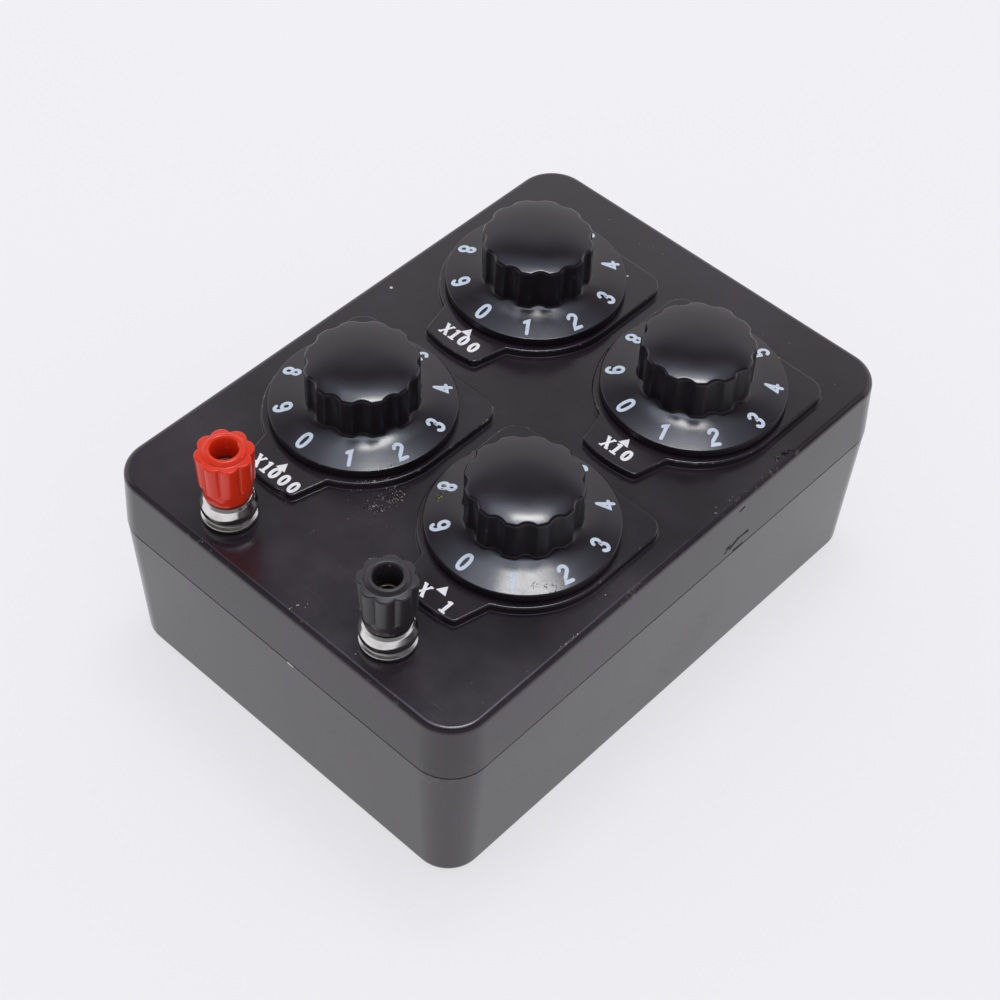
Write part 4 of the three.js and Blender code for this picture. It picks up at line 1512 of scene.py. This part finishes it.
    def sides_of(self, part: Stroke) -> tuple[list[Point2], list[Point2]]:
        """Finds the two side lines of a stroke; round ends are drawn in to a blunt nose.

        Args:
            part: The stroke.

        Returns:
            Its left and its right side.
        """
        line = [Vector(point) for point in part.line]
        count = len(line)
        left, right = [], []
        for index, here in enumerate(line):
            before = line[index - 1] if part.closed or index else here
            after = line[(index + 1) % count] if part.closed or index < count - 1 else here
            along = (after - before).normalized()
            across = Vector((-along.y, along.x))
            sharp = 1.0
            if (here - before).length > 0 and (after - here).length > 0:
                cos = across.dot(Vector((-(here - before).y, (here - before).x)).normalized())
                sharp = min(1 / max(cos, self.least_cos), self.widest_mitre)
            width = part.width
            if part.side_width is not None:
                width += (part.side_width - part.width) * abs(across.x)
            half = width / 2 * sharp
            left.append(tuple(here + across * half))
            right.append(tuple(here - across * half))
        if part.round_ends and not part.closed:
            for end, inner in ((0, 1), (-1, -2)):
                out = (line[end] - line[inner]).normalized()
                across = Vector((-out.y, out.x)) * (1 if end == -1 else -1)
                left_nose, right_nose = [], []
                for degrees in self.nose_angles:
                    angle = math.radians(degrees)
                    tip = line[end] + out * (part.width / 2 * math.sin(angle))
                    left_nose.append(tuple(tip + across * (part.width / 2 * math.cos(angle))))
                    right_nose.append(tuple(tip - across * (part.width / 2 * math.cos(angle))))
                if end == -1:
                    left, right = left + left_nose, right + right_nose
                else:
                    left, right = left_nose[::-1] + left, right_nose[::-1] + right
        return left, right


@dataclass(frozen=True)
class LabelPlace:
    """Where a tab's signs and its pointer stand, about the dial's centre."""

    across: tuple[float, ...]
    up: float
    pointer_across: float
    pointer_tip: float


@dataclass
class DialPrint:
    """The numerals on the skirts and the multipliers and pointers on the tabs."""

    finishes: Finishes
    knob: Knob
    plate: DialPlate
    lettering: Lettering = field(default_factory=Lettering)
    numeral_radius: float = 18.5
    pointer_half: float = 1.4
    pointer_height: float = 2.35
    pointer_low: float = -0.12
    pointer_high: float = 0.055
    signs: dict[str, LabelPlace] = field(
        default_factory=lambda: {
            "x1000": LabelPlace((-5.0, -2.2, 0.35, 3.4, 6.45), -28.05, 0.4, -24.1),
            "x100": LabelPlace((-4.1, -1.5, 1.35, 4.6), -26.65, 0.2, -22.5),
            "x10": LabelPlace((-2.8, -0.1, 2.95), -26.9, 0.1, -22.6),
            "x1": LabelPlace((-2.6, 4.1), -28.25, 0.5, -24.0),
        }
    )

    def make_numerals(self, dial: Dial) -> None:
        """Prints 0 to 9 on a dial's skirt, growing anticlockwise from the pointer.

        Args:
            dial: The dial.
        """
        maker = MeshMaker()
        for digit in range(10):
            angle = math.radians(-90 + self.lettering.numeral_step * digit + dial.turn)
            out = Vector((math.cos(angle), math.sin(angle)))
            up = -out
            right = Vector((up.y, -up.x))

            def place(across: float, rise: float, lift: float) -> Point3:
                """Finds a point of the numeral on the cone.

                Args:
                    across: How far right of the numeral's middle.
                    rise: How far above it.
                    lift: How far off the face.

                Returns:
                    The point.
                """
                flat = out * self.numeral_radius + right * across + up * rise
                height = self.knob.cone(flat.length) + lift
                return (dial.x + flat.x, dial.y + flat.y, COVER_FACE + height)

            self.lettering.lay(maker, self.lettering.numeral(digit), place)
        made = maker.build("numerals_" + dial.name, self.finishes[Look.NUMERALS])
        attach(made, dial.body)

    def make_label(self, dial: Dial) -> None:
        """Prints a dial's multiplier and its pointer on the tab.

        Args:
            dial: The dial.
        """
        maker = MeshMaker()
        top = COVER_FACE + self.plate.height
        where = self.signs[dial.name]
        for sign, across_to in zip(dial.name, where.across):

            def place(across: float, rise: float, lift: float) -> Point3:
                """A point of the sign on the tab."""
                return (dial.x + across_to + across, dial.y + where.up + rise, top + lift)

            self.lettering.lay(maker, self.lettering.label_sign(sign), place)
        middle, tip = dial.x + where.pointer_across, dial.y + where.pointer_tip
        foot = tip - self.pointer_height
        corners = [(middle - self.pointer_half, foot), (middle + self.pointer_half, foot), (middle, tip)]
        low = maker.level(corners, top + self.pointer_low)
        high = maker.level(corners, top + self.pointer_high)
        maker.bridge(low, high)
        maker.fill([low])
        maker.fill([high])
        made = maker.build("label_" + dial.name, self.finishes[Look.LABELS])
        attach(made, "case")


@dataclass
class Post:
    """A binding post's outer pieces: collar, stud and ribbed cap."""

    finishes: Finishes
    name: str
    petal_turn: float
    cap_finish: Look
    petals: int = 8
    petal_share: float = 0.64
    cap_low: float = 7.7
    rib_low: float = 11.0
    cap_top: float = 20.35
    cap_radius: float = 6.62
    rib_foot_radius: float = 6.22
    shoulder_radius: float = 5.6
    foot_radius: float = 5.4
    lip: tuple[Point2, ...] = (
        (5.15, 0),
        (4.92, 0.06),
        (4.84, 0.3),
        (4.68, 0.62),
        (4.42, 0.88),
        (4.1, 1.02),
        (3.82, 1.05),
        (3.52, 0.96),
        (3.29, 0.78),
        (3.15, 0.5),
    )
    bore: float = 3.15
    pocket: float = 4.4
    pocket_top: float = 14.0
    top_edge: float = 0.35
    edge_steps: int = 4
    sides: int = 192
    collar_line: tuple[Corner, ...] = (
        (3.3, 0.3, 0),
        (6.5, 0.3, 0.25),
        (6.5, 1.2, 0.6),
        (5.75, 1.5, 0.35),
        (5.75, 2.2, 0.35),
        (6.4, 2.9, 0.6),
        (6.4, 4.5, 1.6),
        (5.75, 6.3, 1.0),
        (5.3, 7.1, 0.3),
        (4.6, 7.1, 0),
        (4.6, 5.8, 0),
        (3.3, 5.8, 0),
    )
    stud_line: tuple[Corner, ...] = (
        (0, -11, 0),
        (2, -11, 0.3),
        (2, 0.3, 0),
        (3, 0.3, 0),
        (3, 6.1, 0),
        (4.3, 6.1, 0.1),
        (4.3, 7.0, 0.1),
        (3, 7.0, 0),
        (3, 15.4, 0.25),
        (2.05, 15.4, 0.2),
        (2.05, 2.0, 0),
        (0, 2.0, 0),
    )
    cross_hole: float = 1.1
    cross_height: float = 8.8
    cross_reach: float = 4

    @property
    def centre(self) -> Point2:
        """The place of the post's axis."""
        return POST_PLACES[self.name]

    def at(self, maker: MeshMaker, line: Sequence[Point2], height: float) -> Ring:
        """Adds a ring about the post's axis."""
        x, y = self.centre
        return maker.level(((x + a, y + b) for a, b in line), COVER_FACE + height)

    def petal_ring(self, radius: float, depth: float) -> list[Point2]:
        """Draws the cap's outline.

        Args:
            radius: How far the petals reach.
            depth: The share of the petals' rounding, 0 for a circle.

        Returns:
            The points about the post's axis, anticlockwise.
        """
        step = 360 / self.petals
        points = []
        for index in range(self.sides):
            angle = 360 * index / self.sides
            off = math.radians((angle - self.petal_turn) % step - step / 2)
            centre = radius * self.petal_share
            lobe = centre * math.cos(off) + math.sqrt((radius - centre) ** 2 - (centre * math.sin(off)) ** 2)
            reach = radius - (radius - lobe) * depth
            points.append(turned((reach, 0), angle))
        return points

    def make_cap(self) -> None:
        """Builds the cap."""
        maker = MeshMaker()
        rows = [
            (self.bore, 0, self.pocket_top),
            (self.pocket, 0, self.pocket_top),
            (self.pocket, 0, self.cap_low),
            (self.foot_radius, 0, self.cap_low),
            (self.foot_radius + 0.08, 0, self.cap_low + 0.1),
            (self.shoulder_radius - 0.02, 0, self.rib_low - 0.15),
            (self.shoulder_radius + 0.02, 0.15, self.rib_low + 0.05),
            (self.rib_foot_radius, 0.7, self.rib_low + 0.35),
            (self.rib_foot_radius + 0.05, 1, self.rib_low + 0.9),
            (self.cap_radius - 0.02, 1, self.cap_top - 0.5),
        ]
        rings = [self.at(maker, self.petal_ring(radius, depth), height) for radius, depth, height in rows]
        wall = self.petal_ring(self.cap_radius, 1)
        for step in range(self.edge_steps + 1):
            angle = math.radians(90 * step / self.edge_steps)
            line = inset(wall, self.top_edge * (1 - math.cos(angle)))
            height = self.cap_top - self.top_edge + self.top_edge * math.sin(angle)
            rings.append(self.at(maker, line, height))
        for radius, rise in self.lip:
            rings.append(self.at(maker, self.petal_ring(radius, 0), self.cap_top + rise))
        maker.loft(rings, around=True)
        made = maker.build(self.name + "_post_cap_fine", self.finishes[self.cap_finish], sharp_from=45)
        replace_node(made, self.name + "_post_cap", self.name + "_cap")

    def make_collar(self) -> None:
        """Builds the plated collar with its groove and coned top."""
        maker = MeshMaker()
        profile = [(r, COVER_FACE + h) for r, h in eased(self.collar_line, 4, closed=True, support=0.05)]
        maker.lathe(profile, self.centre, sides=96, around=True)
        made = maker.build(self.name + "_post_collar_fine", self.finishes[Look.NICKEL])
        replace_node(made, self.name + "_post_collar", "case")

    def make_stud(self) -> None:
        """Builds the stud with its socket and the cross hole through it."""
        maker = MeshMaker()
        profile = [(r, COVER_FACE + h) for r, h in eased(self.stud_line, 3, closed=False, support=0.05)]
        maker.lathe(profile, self.centre, sides=48)
        # The stud's finish is darkened as painted shade for its top, deep in the cap's bore.
        made = maker.build(self.name + "_post_stud_fine", self.finishes[Look.SOCKET])
        hole = MeshMaker()
        x, y = self.centre
        centre_height = COVER_FACE + self.cross_height
        points = arc((0, 0), (self.cross_hole, self.cross_hole), 0, 360, 24)[:-1]
        ends = []
        for side in (-self.cross_reach, self.cross_reach):
            ends.append(hole.ring((x + side, y + a, centre_height + b) for a, b in points))
        hole.bridge(ends[0], ends[1])
        hole.fill([ends[0]])
        hole.fill([ends[1]])
        cutter = hole.build(self.name + "_cross_hole", self.finishes[Look.SOCKET])
        cut = made.modifiers.new("cross hole", "BOOLEAN")
        cut.object, cut.operation, cut.solver = cutter, "DIFFERENCE", "EXACT"
        bake_modifiers(made)
        bpy.data.objects.remove(cutter)
        replace_node(made, self.name + "_post_stud", "case")

    def make(self) -> None:
        """Builds the post's outer pieces."""
        self.make_cap()
        self.make_collar()
        self.make_stud()


@dataclass(frozen=True)
class Spill:
    """A handful of crumbs along a line on one face: where, how many, how big."""

    name: str
    finish: Look
    start: Point2
    end: Point2
    width: float
    count: int
    size: float
    dial: Dial | None = None


SPILLS = (
    Spill("residue_cover", Look.RESIDUE, (-2.7, -41.6), (-1.9, -32.6), 3.4, 96, 0.42),
    Spill("residue_plate", Look.RESIDUE, (-10.3, -40.4), (-4.9, -33.0), 0.9, 48, 0.42),
    Spill("residue_skirt", Look.RESIDUE, (-7.5, -34.6), (-4.6, -28.0), 0.8, 20, 0.36, DIALS[0]),
    Spill("green_specks", Look.MOSS, (6.0, -27.0), (9.2, -32.4), 1.3, 28, 0.46, DIALS[3]),
    Spill("dark_specks", Look.NICK, (6.3, -28.4), (9.0, -32.8), 1.2, 14, 0.5, DIALS[3]),
    Spill("stain_skirt", Look.NICK, (38.5, -35.3), (43.6, -31.4), 1.5, 26, 0.42, DIALS[3]),
    Spill("residue_dark", Look.NICK, (-3.2, -42.2), (-1.6, -32.2), 3.8, 60, 0.55),
    Spill("stain_edge", Look.NICK, (51.6, 33.5), (52.6, 39.5), 1.2, 34, 0.6),
    Spill("crumbs_edge", Look.RESIDUE, (51.8, 34.0), (52.6, 38.5), 1.0, 12, 0.34),
    Spill("scuff_edge", Look.CHALK, (52.7, -40.5), (52.9, -34.5), 0.4, 16, 0.26),
    Spill("chalk_cover", Look.CHALK, (50.1, -22.7), (50.3, -22.5), 0.2, 2, 0.42),
    Spill("chalk_edge", Look.CHALK, (52.3, 11.0), (51.2, 22.7), 1.6, 7, 0.3),
    Spill("chalk_left", Look.CHALK, (-22.6, -73.6), (-22.3, -73.4), 0.2, 2, 0.36),
    Spill("chalk_front", Look.CHALK, (4.0, -72.7), (7.0, -69.4), 0.7, 7, 0.36),
    Spill("chalk_right", Look.CHALK, (23.1, -71.5), (23.3, -71.2), 0.2, 2, 0.34),
    Spill("chalk_middle", Look.CHALK, (-20.0, -50.0), (18.0, -20.0), 14.0, 12, 0.2),
    Spill("chalk_far", Look.CHALK, (-30.0, 68.0), (50.0, 62.0), 4.0, 9, 0.22),
    Spill("chalk_near", Look.CHALK, (-48.0, -50.0), (48.0, -60.0), 9.0, 16, 0.2),
)


@dataclass
class Marks:
    """What use has left on the box: crumbs of old glue, pale specks and nicks."""

    finishes: Finishes
    knob: Knob
    plate: DialPlate
    lump: tuple[Point2, ...] = ((1, -0.05), (0.85, 0.25), (0.4, 0.45))
    lump_top: float = 0.5
    lump_corners: int = 7
    lump_reach: Point2 = (0.7, 1.1)
    least_share: float = 0.3
    scatter_share: float = 0.35
    flatness: float = 0.8
    plate_edge: float = 0.3
    wall_share: float = 0.4
    wall_slope: float = 0.045
    gouge_place: Point3 = (54.88, 18.5, 43.9)
    gouge: tuple[tuple[tuple[Point2, ...], float], ...] = (
        (((-2.05, -1.17), (-0.6, -0.5), (0.74, 0.02)), 0.85),
        (((0.6, 0.0), (2.3, -0.05), (4.1, -0.18)), 0.42),
        (((3.2, -0.1), (3.7, -0.14), (4.2, -0.18)), 0.75),
        (((-0.86, -2.95), (0.9, -3.0), (2.58, -3.05)), 0.3),
        (((-3.96, -1.56), (-3.2, -1.0), (-2.53, -0.46)), 0.26),
        (((-3.65, -0.2), (-2.9, -0.1), (-2.08, 0.04)), 0.22),
        (((0.24, 9.5), (1.0, 9.65), (1.85, 9.75)), 0.36),
    )
    chip_place: Point3 = (5.9, -74.93, 39.8)
    chip: tuple[Point2, ...] = ((-0.7, 0.05), (0, 0), (0.7, -0.05))
    chip_width: float = 0.6
    nick_depth: float = 0.05

    def ground(self, x: float, y: float, dial: Dial | None) -> float:
        """Finds the height of the face under a crumb.

        Args:
            x: The crumb's place.
            y: The same, along the box.
            dial: The dial that it lies on, if it lies on one.

        Returns:
            The height of that face.
        """
        if dial is not None:
            return COVER_FACE + self.knob.cone(math.hypot(x - dial.x, y - dial.y))
        for near in DIALS:
            off = math.hypot(x - near.x, y - near.y + self.plate.forward)
            if off < self.plate.radius - self.plate_edge:
                return COVER_FACE + self.plate.height
        return COVER_FACE

    def scatter(self, spill: Spill) -> None:
        """Lays a spill's crumbs as low uneven lumps.

        Args:
            spill: The spill.
        """
        chance = random.Random(spill.name)
        maker = MeshMaker()
        start, end = Vector(spill.start), Vector(spill.end)
        across = Vector((-(end - start).y, (end - start).x)).normalized()
        for _ in range(spill.count):
            along = start.lerp(end, chance.random())
            spot = along + across * (chance.gauss(0, self.scatter_share) * spill.width)
            size = spill.size * chance.uniform(self.least_share, 1)
            height = self.ground(spot.x, spot.y, spill.dial)
            turn = chance.uniform(0, 360)
            rows = []
            for share, rise in self.lump:
                points = []
                for corner in range(self.lump_corners):
                    reach = size / 2 * share * chance.uniform(*self.lump_reach)
                    x, y = turned((reach, 0), turn + 360 * corner / self.lump_corners)
                    points.append((spot.x + x, spot.y + y * self.flatness, height + rise * size))
                rows.append(maker.ring(points))
            rows.append(maker.ring([(spot.x, spot.y, height + self.lump_top * size)]))
            maker.loft(rows)
            maker.fill([rows[0]])
        made = maker.build(spill.name, self.finishes[spill.finish])
        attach(made, spill.dial.body if spill.dial else "case")

    def add_side_nicks(self) -> None:
        """Draws the gouge on the right side and the chip in the front seam."""
        lettering = Lettering()

        def right(across: float, rise: float, lift: float) -> Point3:
            """A point on the cover's right side."""
            x, y, z = self.gouge_place
            return (x - self.wall_slope * rise + lift * self.wall_share, y + across, z + rise)

        def front(across: float, rise: float, lift: float) -> Point3:
            """A point on the front side at the seam."""
            x, y, z = self.chip_place
            return (x + across, y - lift * self.wall_share, z + rise)

        maker = MeshMaker()
        lettering.lay(maker, [stroke(line, width) for line, width in self.gouge], right, self.nick_depth)
        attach(maker.build("side_gouge", self.finishes[Look.NICK]), "case")
        maker = MeshMaker()
        lettering.lay(maker, [stroke(self.chip, self.chip_width)], front, self.nick_depth)
        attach(maker.build("seam_chip", self.finishes[Look.CHALK]), "case")

    def make(self) -> None:
        """Lays every mark."""
        for spill in SPILLS:
            self.scatter(spill)
        self.add_side_nicks()


def bake_modifiers(made: bpy.types.Object) -> None:
    """Turns an object's modifiers into its mesh.

    Args:
        made: The object.
    """
    graph = bpy.context.evaluated_depsgraph_get()
    baked = bpy.data.meshes.new_from_object(made.evaluated_get(graph))
    made.modifiers.clear()
    made.data = baked


@dataclass
class Inside:
    """The pieces inside the box: they keep their solids and get their finishes."""

    finishes: Finishes
    by_slot: dict[str, Look] = field(
        default_factory=lambda: {
            "case_black": Look.CASE,
            "knob_black": Look.KNOB,
            "cap_red": Look.RED,
            "cap_black": Look.BLACK,
            "nickel": Look.NICKEL,
            "brass": Look.BRASS,
            "steel": Look.STEEL,
            "bronze": Look.BRONZE,
            "laminate": Look.LAMINATE,
            "resistor_blue": Look.RESISTORS,
            "wire_red": Look.WIRE_RED,
            "wire_black": Look.WIRE_BLACK,
            "wire_yellow": Look.WIRE_YELLOW,
        }
    )

    def dress(self) -> None:
        """Gives every solid the finish of its slot."""
        for part in frame["record"]["subparts"]:
            node = frame["nodes"][part["node"]]
            node.data.materials.clear()
            node.data.materials.append(self.finishes[self.by_slot[part["material_slot"]]])


@dataclass
class Studio:
    """The camera, the floor and the light; the camera and the lamps are placed in metres."""

    place: Point3 = (0.225082, -0.257692, 0.426755)
    aim: Point3 = (-0.005276, 0.004663, 0.020)
    roll: float = 2.647
    lens: float = 78.614
    sensor: float = 36
    clip: Point2 = (0.01, 20)
    floor_half: float = 2000
    floor_glow: float = 0.74
    papers: tuple[Colour, Colour] = ((0.882, 0.878, 0.906), (0.9, 0.896, 0.924))
    behind: Point3 = (-0.66, 0.75, 0)
    across: Point3 = (0.75, 0.66, 0)
    fill_strength: float = 0.73
    room_colour: Colour = (0.95, 0.935, 0.97)
    veil_colour: Colour = (0.76, 0.8, 1.0)
    lamp_turn: float = 41.3

    def add_camera(self) -> None:
        """Sets the camera at the photograph's place."""
        data = bpy.data.cameras.new("camera")
        data.lens, data.sensor_width = self.lens, self.sensor
        data.clip_start, data.clip_end = self.clip
        camera = bpy.data.objects.new("camera", data)
        bpy.context.scene.collection.objects.link(camera)
        camera.location = self.place
        towards = Vector(self.aim) - Vector(self.place)
        camera.rotation_mode = "QUATERNION"
        upright = towards.to_track_quat("-Z", "Y")
        camera.rotation_quaternion = upright @ Quaternion((0, 0, 1), math.radians(self.roll))
        bpy.context.scene.camera = camera

    def add_floor(self) -> None:
        """Lays a plain pale floor, lifted where it is seen or mirrored, so that its shadow stays faint."""
        maker = MeshMaker()
        half = self.floor_half
        corners = [(-half, -half), (half, -half), (half, half), (-half, half)]
        maker.fill([maker.level(corners, 0)])
        paper = Finish("floor paper")
        nodes = paper.nodes
        tone = nodes.noise(nodes.add("TexCoord").outputs["Object"], 3, 2)
        colour = nodes.mixed(tone, rgba(self.papers[0]), rgba(self.papers[1]))
        paper.set(Base_Color=colour, Roughness=0.9, Specular_IOR_Level=0.1)
        glow = nodes.add("Emission", {"Color": colour, "Strength": 1.0})
        share = nodes.maths("MULTIPLY", self.seen(nodes), self.floor_glow)
        both = nodes.add("MixShader", {0: share, 1: paper.shader.outputs[0], 2: glow.outputs[0]})
        output = next(n for n in nodes.tree.nodes if n.type == "OUTPUT_MATERIAL")
        nodes.tree.links.new(both.outputs[0], output.inputs["Surface"])
        floor = maker.build("floor", paper.material)

    def seen(self, nodes: Nodes) -> bpy.types.NodeSocket:
        """Tells the rays that see or mirror a thing from those that light it.

        Args:
            nodes: The tree that gets the nodes.

        Returns:
            1 for a ray that sees or mirrors, 0 for one that lights.
        """
        path = nodes.add("LightPath").outputs
        seen = nodes.maths("MAXIMUM", path["Is Camera Ray"], path["Is Glossy Ray"])
        return nodes.maths("MAXIMUM", seen, path["Is Transmission Ray"])

    def mirrored(self, nodes: Nodes) -> tuple[bpy.types.NodeSocket, bpy.types.NodeSocket]:
        """Draws the room that the glossy pieces mirror: pale behind, dark overhead and in front.

        Args:
            nodes: The world's tree.

        Returns:
            How bright it is in each direction, and how bright the cool veil in it is.
        """
        towards = nodes.add("TexCoord").outputs["Generated"]
        height = nodes.add("SeparateXYZ", {"Vector": towards}).outputs["Z"]
        axes = [
            nodes.add("VectorMath", {0: towards, 1: axis}, operation="DOT_PRODUCT").outputs["Value"]
            for axis in (self.behind, self.across)
        ]
        behind, across = axes
        wall = nodes.spread(height, 0.63, 0.8, 0.95, 0.17, soft=True)
        sides = nodes.spread(behind, 0.05, 0.35, 0.2, 1)
        room = nodes.maths("MULTIPLY", wall, sides)
        near = nodes.spread(behind, 0.4, 0.6, 1, 0, soft=True)
        narrow = nodes.spread(nodes.maths("ABSOLUTE", across), 0.28, 0.45, 1, 0, soft=True)
        past = nodes.spread(behind, -0.15, 0.05, 0, 1, soft=True)
        veil = nodes.maths("MULTIPLY", nodes.maths("MULTIPLY", near, narrow), past)
        veil = nodes.maths("MULTIPLY", veil, nodes.maths("GREATER_THAN", height, 0.5))
        return nodes.maths("MAXIMUM", room, veil), veil

    def add_world(self) -> None:
        """Sets a room to be mirrored, and a plain soft light on what isn't."""
        world = bpy.data.worlds.new("studio")
        world.use_nodes = True
        bpy.context.scene.world = world
        nodes = Nodes(world.node_tree)
        background = next(n for n in nodes.tree.nodes if n.type == "BACKGROUND")
        room, veil = self.mirrored(nodes)
        seen = self.seen(nodes)
        levels = {0: seen, 2: self.fill_strength, 3: room}
        strength = nodes.add("Mix", levels, data_type="FLOAT").outputs[0]
        nodes.tree.links.new(strength, background.inputs["Strength"])
        cool = nodes.maths("MULTIPLY", veil, seen)
        colour = nodes.mixed(cool, rgba(self.room_colour), rgba(self.veil_colour))
        nodes.tree.links.new(colour, background.inputs["Color"])

    def add_lamp(self, name: str, place: Point3, size: Point2, power: float, colour: Colour) -> None:
        """Adds a soft box that hangs level, its long side square to the camera's direction.

        Args:
            name: The lamp's name.
            place: Where it hangs, in metres.
            size: Its two sides, across and along that direction, in metres.
            power: Its power in watts.
            colour: Its colour.
        """
        data = bpy.data.lights.new(name, "AREA")
        data.shape, data.size, data.size_y = "RECTANGLE", size[0], size[1]
        data.energy, data.color = power, colour
        lamp = bpy.data.objects.new(name, data)
        bpy.context.scene.collection.objects.link(lamp)
        lamp.location = place
        lamp.rotation_euler = (0, 0, math.radians(self.lamp_turn))

    def make(self) -> None:
        """Sets up the studio."""
        scene = bpy.context.scene
        scene.view_settings.view_transform = "Standard"
        self.add_floor()
        self.add_world()
        self.add_lamp("wide softbox", (-0.0858, 0.0975, 0.96), (0.48, 0.46), 1.4, (0.76, 0.82, 1.0))
        self.add_lamp("core softbox", (0.009, 0.071, 0.955), (0.256, 0.215), 0.3, (0.86, 0.9, 1.0))
        self.add_lamp("strip softbox", (-0.082, 0.174, 0.95), (0.256, 0.08), 1.2, (1.0, 0.975, 0.93))


def main() -> None:
    """Builds the whole scene in order."""
    logging.basicConfig(level=logging.INFO, format="%(message)s")
    studio = Studio()
    studio.add_camera()
    finishes = Finishes()
    Inside(finishes).dress()
    case = Case(finishes)
    case.make()
    knob = Knob(finishes)
    printed = DialPrint(finishes, knob, case.plate)
    for dial in DIALS:
        knob.make(dial)
        printed.make_numerals(dial)
        printed.make_label(dial)
    for name, turn, finish in (("red", 35, Look.RED), ("black", 15, Look.BLACK)):
        Post(finishes, name, turn, finish).make()
    Marks(finishes, knob, case.plate).make()
    studio.make()


if __name__ == "__main__":
    main()
